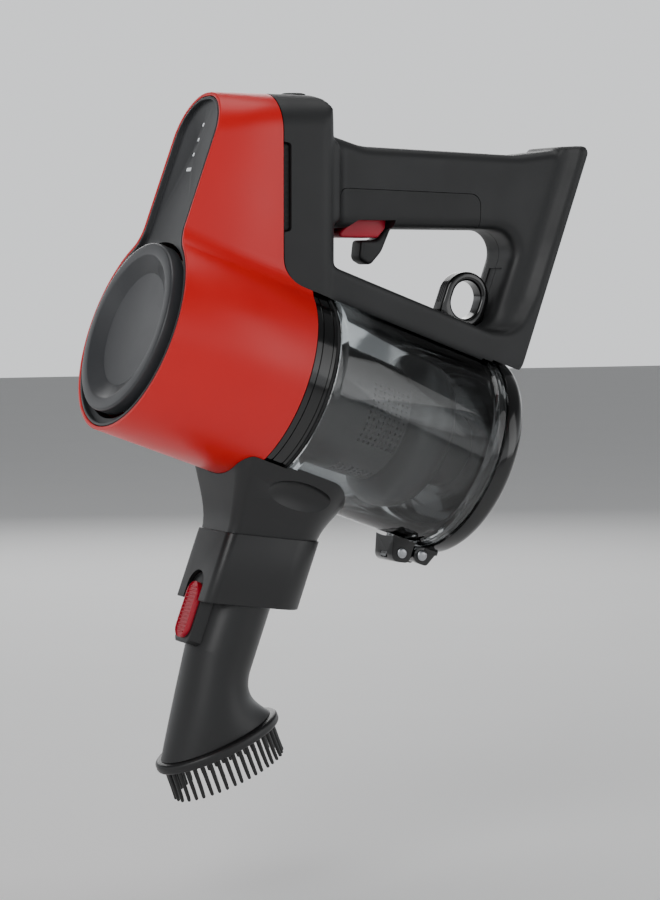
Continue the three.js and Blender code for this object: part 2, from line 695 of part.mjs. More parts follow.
// -------------------------------------------------------------- brush tool
// Section of the tool at share t from the round neck to the brush rim.
function toolSection(t) {
  const ease = t * t * (3 - 2 * t);
  const a = THREE.MathUtils.lerp(SPIGOT_R, BRUSH_LENGTH / 2 - 3.5, ease);
  const b = THREE.MathUtils.lerp(SPIGOT_R, BRUSH_WIDTH / 2 - 3.5, ease);
  return arc(0, 0, 1, 0, 360, 16).slice(0, -1).map((p) => point(p.x * a, p.y * b));
}

// Place of a section's point on the tool's bent centre line.
function toolPlace(p, t) {
  const tilt = BRUSH_TILT * t;
  const x = THREE.MathUtils.lerp(SPIGOT_X, BRUSH_X, t * t);
  const z = THREE.MathUtils.lerp(TOOL_NECK_END, BRUSH_Z, t);
  return vec(x + p.x * Math.cos(tilt), p.y, z + p.x * Math.sin(tilt));
}

function toolBody() {
  const steps = 4;
  const shares = Array.from({ length: steps + 1 }, (_, i) => i / steps);
  const horn = loft(shares.map(toolSection), (p, i) => toolPlace(p, shares[i]));
  const top = SLEEVE_TOP - SLEEVE_LENGTH + SPIGOT_IN;
  const neck = rodZ(SPIGOT_X, 0, SPIGOT_R, TOOL_NECK_END, top);
  const bore = rodZ(SPIGOT_X, 0, SPIGOT_R - SOCKET_WALL, TOOL_NECK_END - 1, top + 1);
  const h = BLOCK_HALF;
  const box = block(BLOCK_FRONT, SPIGOT_X - 6, -h, h, BLOCK_BOTTOM, BLOCK_TOP - h + 4);
  const arch = new THREE.CylinderGeometry(h, h, SPIGOT_X - 6 - BLOCK_FRONT, 24);
  arch.rotateZ(Math.PI / 2).translate((SPIGOT_X - 6 + BLOCK_FRONT) / 2, 0, BLOCK_TOP - h + 4);
  const throat = loft(shares.map((t) => toolSection(t).map((p) => p.clone().multiplyScalar(0.8))),
    (p, i) => toolPlace(p, shares[i]));
  return without(unite(horn, neck, box, solid(arch)), bore, throat, buttonPocket());
}

// Upright oval facing forwards on the tool's block, from x0 to x1.
function buttonBody(half, x0, x1) {
  const top = BLOCK_TOP - 1.8;
  const low = BLOCK_BOTTOM + 2.2;
  const length = top - low - 2 * half;
  const middle = (top + low) / 2;
  const shape = new THREE.Shape([
    ...arc(0, length / 2, half, 0, 180, 8), ...arc(0, -length / 2, half, 180, 360, 8),
  ]);
  const oval = new THREE.ExtrudeGeometry(shape, { depth: x1 - x0, bevelEnabled: false });
  const place = new THREE.Matrix4().makeBasis(vec(0, 1, 0), vec(0, 0, 1), vec(1, 0, 0));
  place.setPosition(x0, 0, middle);
  return solid(oval.applyMatrix4(place));
}

const buttonPocket = () => buttonBody(BUTTON_HALF + GAP, BLOCK_FRONT - 5, BLOCK_FRONT + 5.2);
const toolButton = () =>
  buttonBody(BUTTON_HALF, BLOCK_FRONT - BUTTON_OUT, BLOCK_FRONT + 1.6);

const toolButtonSpring = () => {
  const spring = coil(0, 0, 0, 3, 2, 0.35, 3);
  const lay = new THREE.Matrix4().makeRotationY(Math.PI / 2);
  lay.setPosition(BLOCK_FRONT + 1.9, 0, (BLOCK_TOP + BLOCK_BOTTOM) / 2);
  return turned(spring, lay);
};

// Places on the brush rim: p across its oval, down below its upper face.
function rimPlace(p, down) {
  const c = Math.cos(BRUSH_TILT);
  const s = Math.sin(BRUSH_TILT);
  return vec(BRUSH_X + p.x * c + down * s, p.y, BRUSH_Z + p.x * s - down * c);
}

// Rim-shaped oval, grown by extra.
const rimOval = (extra, steps = 24) => arc(0, 0, 1, 0, 360, steps).slice(0, -1)
  .map((p) => point(p.x * (BRUSH_LENGTH / 2 + extra), p.y * (BRUSH_WIDTH / 2 + extra)));

const rimBody = (extra, from, to) =>
  loft([rimOval(extra), rimOval(extra)], (p, i) => rimPlace(p, i ? to : from));

function brushRim() {
  const ring = loft([-1.2, 0, 0, -1.6].map((extra) => rimOval(extra)),
    (p, i) => rimPlace(p, [GAP, GAP + 1.4, RIM_T - 1.2, RIM_T][i]));
  const groove = without(rimBody(-1.7, 2.6, 20), rimBody(-7.3, 2, 21));
  return without(ring, rimBody(-9, -5, 20), groove);
}

// Backing strip in the rim's groove with one ring of stiff bristles.
function bristleStrip() {
  const strip = without(rimBody(-2, 2.9, RIM_T - 0.3), rimBody(-7, 0, 20));
  const oval = new THREE.EllipseCurve(0, 0, BRUSH_LENGTH / 2 - 4.5, BRUSH_WIDTH / 2 - 4.5);
  const rods = oval.getSpacedPoints(BRISTLE_COUNT).slice(0, -1).map((p) => {
    const rod = new THREE.CylinderGeometry(BRISTLE_D / 2, BRISTLE_D / 2, BRISTLE_L + 1.5, 4);
    const middle = rimPlace(p, RIM_T - 1.8 + (BRISTLE_L + 1.5) / 2);
    return solid(rod.rotateX(Math.PI / 2).rotateY(-BRUSH_TILT).translate(middle.x, middle.y, middle.z));
  });
  return unite(strip, ...rods);
}

// ------------------------------------------------------------------- handle
// Side view of the neck's grey part, its back and top drawn in by inset.
function neckShape(inset) {
  return roundedShape([
    [up(40, 119 - inset), 0],
    [up(102.5 - inset, 118 - inset), 8],
    [up(104 - inset, 100), 8],
    [up(NECK_REAR - inset, 88), 4],
    [up(NECK_REAR - inset, 10), 0],
    [up(40, 10), 0],
  ]);
}

// Level plan of the neck: its upright rear corners.
function neckPlan(inset) {
  const w = NECK_HALF - inset;
  const x = NECK_REAR - inset;
  const r = NECK_CORNER;
  const outline = [point(0, -w), ...arc(x - r, r - w, r, -90, 0, 5),
    ...arc(x - r, w - r, r, 0, 90, 5), point(0, w)];
  const prism = new THREE.ExtrudeGeometry(new THREE.Shape(outline), {
    depth: 240, bevelEnabled: false,
  });
  return levelled(solid(prism.translate(0, 0, -60)));
}

const neck = (inset) => teardropBody(-10, 125, inset)
  .intersect(acrossY(neckShape(inset), 60))
  .intersect(neckPlan(inset));

// Side view of the D: grip, rear pillar and base bar round the hand opening.
function ringShape() {
  const foot = BAR_TOP - 26; // below the bar, which is hollowed from there up
  const shape = roundedShape([
    [point(66, foot), 0], [up(78, 107), 0], [up(98, 107), 9], [up(104, 98.5), 14],
    [up(124, GRIP_TOP + 0.8), 30], [up(216, GRIP_TOP - 1.8), 40], [up(250, BAND_TOP - 1), 9],
    [point(REAR_X - 2, 150), 9], [point(REAR_X - 2, foot), 9],
  ]);
  shape.holes.push(openingShape());
  return shape;
}

// Hand opening inside the D.
function openingShape() {
  const inner = REAR_X - PILLAR_T;
  const slope = up(1, 0);
  const underRear = up(175, GRIP_UNDER);
  const rearTop = underRear.clone()
    .add(slope.multiplyScalar((inner - underRear.x) / slope.x));
  const wall = up(NECK_REAR, 0);
  const rise = up(0, 1);
  const low = wall.clone().add(rise.multiplyScalar((BAR_TOP - wall.y) / rise.y));
  return roundedShape([
    [up(NECK_REAR, GRIP_UNDER), 3],
    [rearTop, 12],
    [point(inner, BAR_TOP), 12],
    [low, 10],
  ]);
}

// The wide flat band down the rear and the base bar under the opening.
function bandShape() {
  const inner = REAR_X - BAND_T;
  return roundedShape([
    [point(70, SEAM_Z), 0],
    [point(70, BAR_TOP - 0.6), 0],
    [point(185, BAR_TOP - 0.6), 0],
    [point(inner - 4, BAR_TOP + 4), 14],
    [point(inner, 90), 8],
    [up(249, BAND_TOP - 8), 0],
    [up(251, BAND_TOP), 0],
    [up(259.5, BAND_TOP), 0],
    [point(REAR_X, 160), 0],
    [point(REAR_X, SEAM_Z), 8],
  ]);
}

// Grip, pillar, base, band and neck in one, drawn in by inset. The drawn-in
// band keeps square edges, because it is thinner than two of its bevels.
function handleBody(inset) {
  const ring = acrossY(ringShape(), GRIP_HALF, EDGE_R, inset);
  const band = acrossY(bandShape(), BAND_HALF, inset > 0 ? 0 : BAND_EDGE, inset);
  return unite(neck(inset), ring, band);
}

// Room under and in front of the handle for housing, ring, bin and lid.
function belowHandle(extra) {
  const under = block(-20, BODY_LENGTH, -80, 80, -80, SEAM_Z + GAP + extra);
  return unite(
    under,
    discX(BODY_LENGTH - 1, BIN_END - BIN_LIP - 4 + extra, BAR_R + extra, 36),
    discX(BIN_END - BIN_LIP - 5, LID_START - 0.8 + extra, BIN_LIP_R + 0.9 + extra, 36),
    discX(LID_START - 1, 400, LID_R + 0.8 + extra, 36),
  );
}

const handleScrews = () => [up(92, 34), up(198, 78), point(199, 108), point(120, 59.5)];

function handleShells() {
  const outer = handleBody(0).intersect(behindSeam(GAP));
  const hollow = without(handleBody(WALL), belowHandle(WALL), ringRoom(WALL));
  const latchWay = block(BIN_END - 11, REAR_X + 5, -9, 9, 40, 62.4);
  const shell = without(outer, hollow, belowHandle(0), latchWay, insertRoom(GAP), ringRoom(0),
    ringSlot(), jackHole(), modeButtonHole(), ventSlot(-1), ventSlot(1));
  const left = shell.intersect(block(-50, 400, -80, -GAP / 2, -100, 300));
  const right = shell.intersect(block(-50, 400, GAP / 2, 80, -100, 300));
  const inside = handleBody(WALL - 0.6);
  const post = (p, r, y0, y1) => rodY(p.x, p.y, r, y0, y1, 10).intersect(inside);
  const bosses = handleScrews();
  const leftBosses = bosses.map((p) => post(p, 3.6, -40, -GAP / 2));
  const rightBosses = bosses.map((p) => post(p, 4.6, GAP / 2, 40));
  const bores = bosses.map((p) => rodY(p.x, p.y, SCREW_R + GAP, -12, 60, 10));
  const heads = bosses.map((p) => rodY(p.x, p.y, 3.2, 8, 60, 12));
  return {
    left: without(unite(left, ...leftBosses), ...bores),
    right: without(unite(right, ...rightBosses), ...bores, ...heads),
  };
}

function handleScrew(p) {
  return unite(rodY(p.x, p.y, SCREW_R, -9, 8.5, 10), rodY(p.x, p.y, 2.9, 8.2, 10.4, 12));
}

// Lower half of the grip, with the trigger's opening and the finger guard.
function insertRoom(extra) {
  return acrossY(roundedShape([
    [up(107 - extra, 40), 0],
    [up(107.5 - extra, 70.8 + extra), 6],
    [up(193 + extra, 68.8 + extra), 6],
    [up(193 + extra, 40), 0],
  ]), 36);
}

function triggerOpening() {
  const w = TRIGGER_HALF + GAP;
  const room = acrossY(roundedShape([
    [up(TRIGGER_FRONT - 2, 30), 0],
    [up(TRIGGER_FRONT - 1, 46.5), 4],
    [up(120, 54.8), 5],
    [up(TRIGGER_REAR + 6, 54.8), 0],
    [up(TRIGGER_REAR + 6, 30), 0],
  ]), 36);
  const shaft = levelled(block(TRIGGER_FRONT - GAP, TRIGGER_REAR + 5.4, -w, w, 40, 64.5));
  return unite(room, shaft);
}

function gripInsert() {
  const ring = acrossY(ringShape(), GRIP_HALF, EDGE_R);
  const hollow = acrossY(ringShape(), GRIP_HALF, EDGE_R, WALL);
  const shell = without(ring, hollow).intersect(insertRoom(0));
  const guard = acrossY(roundedShape([
    [up(152, 56), 0], [up(146.5, 51), 0], [up(140, 41), 0], [up(133.5, 31), 3],
    [up(126.6, 34.5), 3], [up(127.4, 44.8), 0], [up(137.6, 44.8), 0],
    [up(142.6, 50.5), 0], [up(142.6, 56), 0],
  ]), 6);
  return unite(without(shell, triggerOpening()), guard);
}

function trigger() {
  const pad = acrossY(roundedShape([
    [up(TRIGGER_FRONT, TRIGGER_LOW), 1.5],
    [up(119, 53.8), 6],
    [up(119, 58), 0],
    [up(TRIGGER_REAR + 4.6, 58), 0],
    [up(TRIGGER_REAR + 4.6, 51), 3],
    [up(TRIGGER_REAR, TRIGGER_LOW), 1.5],
  ]), TRIGGER_HALF, 1.2);
  const post = levelled(block(126, 130, -2, 2, 57, 65));
  return unite(pad, post);
}

const triggerSpring = () => levelled(coil(122, 0, 58.4, 66.2, 2.4, 0.4, 5));
const powerSwitch = () => levelled(unite(block(117, 138, -4, 4, 69.2, 79),
  block(126.4, 129.6, -1.4, 1.4, 68.9, 70), block(118.5, 125, -4, 4, 66.6, 70)));

// Slot between red housing and neck flank, and the dark strip set in it.
function ventSlot(side) {
  const shape = roundedShape([
    [up(SEAM_X - 2, 47.5), 0], [up(SEAM_X + 4.3, 48.5), 2],
    [up(SEAM_X + 4.3, 92.5), 2], [up(SEAM_X - 2, 93.5), 0],
  ]);
  const y = side * (NECK_HALF - 1);
  return acrossY(shape, 3).translate(0, y, 0);
}

function ventGrille(side) {
  const y = side * (NECK_HALF - 2.9);
  const shape = roundedShape([
    [up(SEAM_X + 0.9, 49.2), 0.5], [up(SEAM_X + 3.9, 49.2), 1.5],
    [up(SEAM_X + 3.9, 91.8), 1.5], [up(SEAM_X + 0.9, 91.8), 0.5],
  ]);
  return acrossY(shape, 1).translate(0, y, 0);
}

function modeButtonHole() {
  return levelled(rodZ(MODE_X, 0, MODE_R + GAP, 105, 140, 20));
}
function modeButton() {
  const top = latheX([[109, 0], [109, MODE_R + 1], [110.4, MODE_R + 1],
    [110.4, MODE_R], [118.3, MODE_R], [119.4, MODE_R - 1.4], [119.4, 0]], 20, false);
  const upright = new THREE.Matrix4().makeRotationY(-Math.PI / 2).setPosition(MODE_X, 0, 0);
  return levelled(turned(top, upright));
}
const modeButtonSpring = () => levelled(coil(MODE_X, 0, 103.3, 108.7, 2.6, 0.4, 4));
const modeSwitch = () => levelled(block(MODE_X - 0.6, MODE_X + 5, -5, 5, 97, 103));

// Pull ring that frees the bin: loop, foot and a tongue down to the catch.
function releaseRing() {
  const loop = new THREE.Shape();
  loop.absarc(RING_X, RING_Z + 1, RING_R, 0, Math.PI, false);
  loop.lineTo(RING_X - RING_R, BAR_TOP + 1);
  loop.lineTo(RING_X + RING_R, BAR_TOP + 1);
  const hole = new THREE.Path();
  hole.absarc(RING_X, RING_Z + 1, RING_HOLE, 0, Math.PI, false);
  hole.absarc(RING_X, RING_Z - 2.2, RING_HOLE, Math.PI, 2 * Math.PI, false);
  loop.holes.push(hole);
  const foot = block(RING_X - RING_R - 6, RING_X + RING_R - 1, -6, 6, BAR_TOP + 0.3, BAR_TOP + 2.3);
  const tongue = block(BIN_END - 8.4, BIN_END - 4.4, -4, 4, 58.1, BAR_TOP + 2);
  return unite(acrossY(loop, RING_HALF, 1), foot, tongue);
}
const ringSlot = () => block(BIN_END - 8.8, BIN_END - 4, -4.4, 4.4, 50, BAR_TOP + 2);
// Room the ring stands and slides in, grown by extra.
const ringRoom = (extra) => block(
  RING_X - RING_R - 7 - extra, RING_X + RING_R + 0.5 + extra,
  -6.4 - extra, 6.4 + extra, BAR_TOP + 0.1 - extra, RING_Z + RING_R + 8,
);
const releaseSpring = () => coil(BIN_END - 14, 0, BAR_TOP - WALL - 6, BAR_TOP - WALL - 0.6, 2, 0.35, 4);

// ---------------------------------------------------- battery and electrics
const cellPlaces = [[61.4, -9.6], [61.4, 9.6], [80.6, -9.6], [80.6, 9.6]];
const cell = ([x, y]) => levelled(unite(
  rodZ(x, y, CELL_R, CELL_FOOT, CELL_FOOT + CELL_L, 20),
  rodZ(x, y, 3, CELL_FOOT, CELL_FOOT + CELL_L + 1, 10)));
function batteryTray() {
  const base = block(51.5, 91, -20, 20, CELL_FOOT - 3.5, CELL_FOOT + 8);
  const wells = cellPlaces.map(([x, y]) =>
    rodZ(x, y, CELL_R + GAP, CELL_FOOT - GAP, CELL_FOOT + 20, 20));
  return levelled(without(base, ...wells));
}
const controlBoard = () => block(9.4, 11, -17, 17, 72, LED_Z + 32);
const chargingJack = () => {
  const body = unite(ringX(REAR_X - 9, REAR_X, 2.8, 4.6, 16),
    discX(REAR_X - 10.5, REAR_X - 8.9, 4.6, 16), discX(REAR_X - 10, REAR_X - 1.5, 0.9, 8));
  return body.translate(0, 0, JACK_Z);
};
const jackHole = () => discX(REAR_X - 12, REAR_X + 1, 4.6 + GAP, 16).translate(0, 0, JACK_Z);

// ----------------------------------------------------------------- assembly
const handle = handleShells();
node('motor_housing', motorHousing(), RED);
node('front_fascia', frontFascia(), FASCIA_GREY);
node('led_light_pipe', ledLightPipe(), FROSTED);
node('filter_cap', filterCap(), CAP_GREY);
node('exhaust_filter', exhaustFilter(), PAPER);
node('motor_casing', motorCasing(), ALUMINIUM);
node('motor_stator', motorStator(), LAMINATION);
node('motor_end_plate', motorEndPlate(), ALUMINIUM);
node('bearing_front', bearing(25.2), STEEL);
node('bearing_rear', bearing(54.7), STEEL);
node('motor_rotor', motorRotor(), STEEL);
node('impeller', impeller(), ALUMINIUM);
node('fan_shroud', fanShroud(), NYLON);
node('motor_mount', motorMount(), RUBBER);
node('bin_seat_ring', binSeatRing(), BLACK);
node('bin_seal', binSeal(), RUBBER);
node('premotor_filter', premotorFilter(), FOAM);
node('cyclone_shroud', cycloneShroud(), BLACK);
node('cyclone_skirt', cycloneSkirt(), BLACK);
node('collector_tube', collectorTube(), BLACK);
node('vortex_cone', vortexCone(), NYLON);
node('handle_shell_left', handle.left, DARK);
node('handle_shell_right', handle.right, DARK);
handleScrews().forEach((p, i) => node(`handle_screw_${i + 1}`, handleScrew(p), STEEL));
node('grip_insert', gripInsert(), DARK);
node('vent_grille_left', ventGrille(-1), NYLON);
node('vent_grille_right', ventGrille(1), NYLON);
node('trigger', trigger(), CRIMSON);
node('trigger_spring', triggerSpring(), STEEL);
node('power_switch', powerSwitch(), NYLON);
node('mode_button', modeButton(), BLACK);
node('mode_button_spring', modeButtonSpring(), STEEL);
node('mode_switch', modeSwitch(), NYLON);
node('release_ring', releaseRing(), BLACK);
node('release_spring', releaseSpring(), STEEL);
cellPlaces.forEach((p, i) => node(`battery_cell_${i + 1}`, cell(p), CELL_WRAP));
node('battery_tray', batteryTray(), NYLON);
node('control_board', controlBoard(), BOARD);
node('charging_jack', chargingJack(), NYLON);
node('bin_shell', binShell(), CLEAR);
node('bin_catch', binCatch(), BLACK);
node('inlet_tube', inletTube(), DARK);
node('hinge_bracket', hingeBracket(), BLACK);
node('bracket_pin', headedPin(BRACKET_X, BRACKET_Z), STEEL);
node('hinge_pin', headedPin(HINGE_X, HINGE_Z), STEEL);
node('bin_lid', binLid(), BLACK);
node('lid_seal', lidSeal(), RUBBER);
node('lid_latch', lidLatch(), BLACK);
node('lid_latch_spring', lidLatchSpring(), STEEL);
node('tool_body', toolBody(), DARK);
node('tool_button', toolButton(), CRIMSON);
node('tool_button_spring', toolButtonSpring(), STEEL);
node('brush_rim', brushRim(), DARK);
node('brush_bristles', bristleStrip(), NYLON);

// Tilted so that the grip lies level, with the grip's middle at the origin.
root.rotation.y = TILT;
root.position.set(-GRIP_CENTRE[0], 0, -GRIP_CENTRE[1]);

export default root;
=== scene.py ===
import math

import bmesh
import bpy
from mathutils import Matrix, Vector


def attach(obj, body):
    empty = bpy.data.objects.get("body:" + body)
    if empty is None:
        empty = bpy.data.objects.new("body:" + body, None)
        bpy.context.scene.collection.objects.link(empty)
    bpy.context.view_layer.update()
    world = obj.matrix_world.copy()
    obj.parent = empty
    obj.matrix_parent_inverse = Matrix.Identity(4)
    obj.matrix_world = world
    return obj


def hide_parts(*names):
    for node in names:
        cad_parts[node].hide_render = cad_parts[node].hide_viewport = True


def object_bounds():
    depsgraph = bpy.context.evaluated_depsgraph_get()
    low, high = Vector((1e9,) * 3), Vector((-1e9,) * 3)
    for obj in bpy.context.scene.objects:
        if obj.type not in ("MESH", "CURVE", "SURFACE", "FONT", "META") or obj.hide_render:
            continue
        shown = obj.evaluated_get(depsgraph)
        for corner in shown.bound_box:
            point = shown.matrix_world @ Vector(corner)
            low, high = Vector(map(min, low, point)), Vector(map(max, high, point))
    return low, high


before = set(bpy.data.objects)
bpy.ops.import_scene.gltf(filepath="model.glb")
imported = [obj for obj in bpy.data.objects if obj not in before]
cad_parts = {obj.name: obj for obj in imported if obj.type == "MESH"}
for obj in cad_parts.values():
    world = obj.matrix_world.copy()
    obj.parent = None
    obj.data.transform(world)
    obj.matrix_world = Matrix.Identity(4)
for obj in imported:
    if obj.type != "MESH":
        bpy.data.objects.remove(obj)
cad_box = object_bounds()

# ------------------------------------------------------------ motor housing
# The red shell round motor and batteries: one injection moulding in satin ABS,
# a cylinder with an upright neck, open at the front for the fascia and ending
# in a seam against the handle. Drawn in millimetres on the machine's own axes,
# X along the suction cylinder, and turned into the frame as a whole.
TILT = math.radians(20)  # cylinder against the level grip
GRIP = (170, 71)  # middle of the grip, level axes
TO_FRAME = (Matrix.Translation((-GRIP[0] / 1000, 0, -GRIP[1] / 1000))
            @ Matrix.Rotation(TILT, 4, "Y") @ Matrix.Scale(0.001, 4))


def up(x, z):
    """A place in the side view given in level axes, as machine x and z."""
    c, s = math.cos(TILT), math.sin(TILT)
    return Vector((x * c - z * s, x * s + z * c))


def span(*nodes):
    """Lowest and highest machine coordinates of some nodes, in millimetres."""
    back = TO_FRAME.inverted()
    points = [back @ v.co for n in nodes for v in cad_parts[n].data.vertices]
    return (Vector([min(p[k] for p in points) for k in range(3)]),
            Vector([max(p[k] for p in points) for k in range(3)]))


def arc(cx, cy, r, start, end, steps):
    """Points of an arc, ends included, angles in degrees."""
    turns = [math.radians(start + (end - start) * i / steps) for i in range(steps + 1)]
    return [Vector((cx + r * math.cos(a), cy + r * math.sin(a))) for a in turns]


def loft(rings, closed=True):
    """Skin through rings of Vectors with equally many points, capped."""
    bm = bmesh.new()
    rows = [[bm.verts.new(p) for p in ring] for ring in rings]
    n = len(rows[0])
    for a, b in zip(rows, rows[1:]):
        for i in range(n):
            bm.faces.new((a[i], a[(i + 1) % n], b[(i + 1) % n], b[i]))
    if closed:
        bm.faces.new(rows[0])
        bm.faces.new(rows[-1])
    bmesh.ops.recalc_face_normals(bm, faces=bm.faces)
    return bm


def lathe(profile, steps=128):
    """Closed body turned about X from [x, radius] pairs; a closed loop where it
    starts and ends off the axis."""
    loop = profile[0][1] > 0 and profile[-1][1] > 0
    bm = bmesh.new()
    rows = []
    for x, r in profile:
        if r <= 0:
            rows.append([bm.verts.new((x, 0, 0))] * steps)
            continue
        rows.append([bm.verts.new((x, r * math.sin(math.tau * i / steps),
                                   r * math.cos(math.tau * i / steps))) for i in range(steps)])
    pairs = list(zip(rows, rows[1:])) + ([(rows[-1], rows[0])] if loop else [])
    for a, b in pairs:
        for i in range(steps):
            corners = dict.fromkeys((a[i], a[(i + 1) % steps], b[(i + 1) % steps], b[i]))
            if len(corners) > 2:
                bm.faces.new(corners)
    bmesh.ops.recalc_face_normals(bm, faces=bm.faces)
    return bm


def rounded(corners, steps=8):
    """Outline through corner points, each bent to its radius: (point, radius)."""
    outline = []
    for i, (p, r) in enumerate(corners):
        p = Vector(p)
        a = (Vector(corners[i - 1][0]) - p).normalized()
        b = (Vector(corners[(i + 1) % len(corners)][0]) - p).normalized()
        half = a.angle(b) / 2
        if r == 0 or half > math.radians(87):
            outline.append(p)
            continue
        start, end = p + a * r / math.tan(half), p + b * r / math.tan(half)
        centre = p + ((start + end) / 2 - p).normalized() * r / math.sin(half)
        u, v = start - centre, end - centre
        turn = u.angle(v)
        for k in range(steps + 1):
            t = k / steps
            blend = (u * math.sin((1 - t) * turn) + v * math.sin(t * turn)) / math.sin(turn)
            outline.append(centre + blend)
    return outline


def plate(outlines, half, edge=0.0, facets=4):
    """Side-view outline, with any holes after it, run across the machine from
    -half to +half, its edges rounded by edge."""
    curve = bpy.data.curves.new("plate", "CURVE")
    curve.dimensions = "2D"
    curve.fill_mode = "BOTH"
    curve.extrude = half - edge
    curve.bevel_depth = edge
    curve.offset = -edge
    curve.bevel_resolution = facets
    for outline in outlines:
        spline = curve.splines.new("POLY")
        spline.points.add(len(outline) - 1)
        for spot, p in zip(spline.points, outline):
            spot.co = (p[0], p[1], 0, 1)
        spline.use_cyclic_u = True
    holder = bpy.data.objects.new("plate", curve)
    bm = bmesh.new()
    bm.from_mesh(holder.to_mesh())
    bpy.data.objects.remove(holder)
    bpy.data.curves.remove(curve)
    bmesh.ops.remove_doubles(bm, verts=bm.verts, dist=0.002)
    bmesh.ops.transform(bm, matrix=Matrix.Rotation(math.pi / 2, 4, "X"), verts=bm.verts)
    bmesh.ops.recalc_face_normals(bm, faces=bm.faces)
    return bm


def block(x0, x1, y0, y1, z0, z1):
    return loft([[Vector((x, y, z)) for y, z in ((y0, z0), (y1, z0), (y1, z1), (y0, z1))]
                 for x in (x0, x1)])


def combine(how, base, *others):
    """Boolean of closed bodies: DIFFERENCE, INTERSECT or UNION."""
    for other in others:
        pair = []
        for bm in (base, other):
            mesh = bpy.data.meshes.new("part")
            bm.to_mesh(mesh)
            pair.append(bpy.data.objects.new("part", mesh))
            bpy.context.scene.collection.objects.link(pair[-1])
        step = pair[0].modifiers.new("join", "BOOLEAN")
        step.operation = how
        step.solver = "MANIFOLD"
        step.object = pair[1]
        seen = bpy.context.evaluated_depsgraph_get()
        result = bpy.data.meshes.new_from_object(pair[0].evaluated_get(seen))
        base.clear()
        base.from_mesh(result)
        for holder in pair:
            mesh = holder.data
            bpy.data.objects.remove(holder)
            bpy.data.meshes.remove(mesh)
        bpy.data.meshes.remove(result)
    return base


def soften(bm, width, angle=40, steps=2):
    """Rounds the sharp edges of a body."""
    bmesh.ops.remove_doubles(bm, verts=bm.verts, dist=0.01)
    bmesh.ops.dissolve_degenerate(bm, dist=0.01, edges=bm.edges)
    sharp = [e for e in bm.edges if e.is_manifold and e.calc_face_angle() > math.radians(angle)]
    bmesh.ops.bevel(bm, geom=sharp, offset=width, segments=steps, profile=0.5,
                    affect="EDGES", clamp_overlap=False)
    return bm


def piece(name, bm, material, body, slot, *stands_for, angle=30):
    """Turns a body drawn on the machine's axes into a piece of the model."""
    bmesh.ops.transform(bm, matrix=TO_FRAME, verts=bm.verts)
    bmesh.ops.recalc_face_normals(bm, faces=bm.faces)
    mesh = bpy.data.meshes.new(name)
    bm.to_mesh(mesh)
    bm.free()
    mesh.shade_smooth()
    mesh.set_sharp_from_angle(angle=math.radians(angle))
    mesh.materials.append(material)
    made = bpy.data.objects.new(name, mesh)
    bpy.context.scene.collection.objects.link(made)
    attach(made, body)
    if stands_for:
        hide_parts(*stands_for)
    return made


def linear(shade):
    """sRGB hex to linear colour."""
    parts = [int(shade[i:i + 2], 16) / 255 for i in (0, 2, 4)]
    return [c / 12.92 if c <= 0.04045 else ((c + 0.055) / 1.055) ** 2.4 for c in parts] + [1]


def add(tree, kind, settings, links=()):
    """One node with its settings, and links as (input, node, output)."""
    node = tree.nodes.new(kind)
    for key, value in settings.items():
        if isinstance(key, str) and hasattr(node, key):
            setattr(node, key, value)
        else:
            node.inputs[key].default_value = value
    for socket, source, output in links:
        tree.links.new(source.outputs[output], node.inputs[socket])
    return node


def moulded(name, shade, rubbed, roughness, spread, grain, relief, coat=0.0):
    """Moulded plastic: shade with a faintly lighter, rubbed tone over large
    areas, roughness spread about its middle, and a mould grain of the given
    size in millimetres that stands relief millimetres high."""
    material = bpy.data.materials.new(name)
    material.use_nodes = True
    tree = material.node_tree
    tree.nodes.clear()
    place = add(tree, "ShaderNodeTexCoord", {})
    cloud = add(tree, "ShaderNodeTexNoise", {"Scale": 1 / 0.028, "Detail": 3.0},
                [("Vector", place, "Object")])
    fine = add(tree, "ShaderNodeTexNoise", {"Scale": 1000 / grain, "Detail": 2.0},
               [("Vector", place, "Object")])
    tone = add(tree, "ShaderNodeMix", {"data_type": "RGBA", 6: linear(shade), 7: linear(rubbed)},
               [("Factor", cloud, "Fac")])
    sheen = add(tree, "ShaderNodeMapRange", {"From Min": 0.3, "From Max": 0.7,
                                             "To Min": roughness - spread,
                                             "To Max": roughness + spread},
                [("Value", cloud, "Fac")])
    bump = add(tree, "ShaderNodeBump", {"Strength": 1.0, "Distance": relief / 1000},
               [("Height", fine, "Fac")])
    surface = add(tree, "ShaderNodeBsdfPrincipled",
                  {"IOR": 1.53, "Coat Weight": coat, "Coat Roughness": 0.04},
                  [("Base Color", tone, 2), ("Roughness", sheen, "Result"),
                   ("Normal", bump, "Normal")])
    add(tree, "ShaderNodeOutputMaterial", {}, [("Surface", surface, "BSDF")])
    return material


BODY_R = 53.6
BODY_LENGTH = 76.4
NECK_HALF = 25.5
NECK_TOP = 125.9  # crown above the axis, at the fascia
NECK_FILLET = 14
WALL = 2.6
GAP = 0.3
SEAM_X, SEAM_Z, SEAM_R = 72.5, 47.5, 16  # seam: level x, height over the bin, bend


def teardrop(x, inset):
    """Section of cylinder and neck at x, drawn in by inset."""
    r, w = BODY_R - inset, NECK_HALF - inset
    top = NECK_TOP + x * math.tan(TILT) - inset
    share = min(max(x / BODY_LENGTH, 0), 1)
    crown = min(w - 0.5, 24 - 9 * share - inset)
    f = NECK_FILLET + inset
    fz = math.sqrt((r + f) ** 2 - (w + f) ** 2)
    meet = math.degrees(math.atan2(fz, w + f))
    outline = (arc(0, 0, r, -180 - meet, meet, 140)[:-1]
               + arc(w + f, fz, f, meet + 180, 180, 14)
               + arc(w - crown, top - crown, crown, 0, 90, 18)
               + arc(crown - w, top - crown, crown, 90, 180, 18)
               + arc(-w - f, fz, f, 0, -meet, 14)[:-1])
    return [Vector((x, p.x, p.y)) for p in outline]


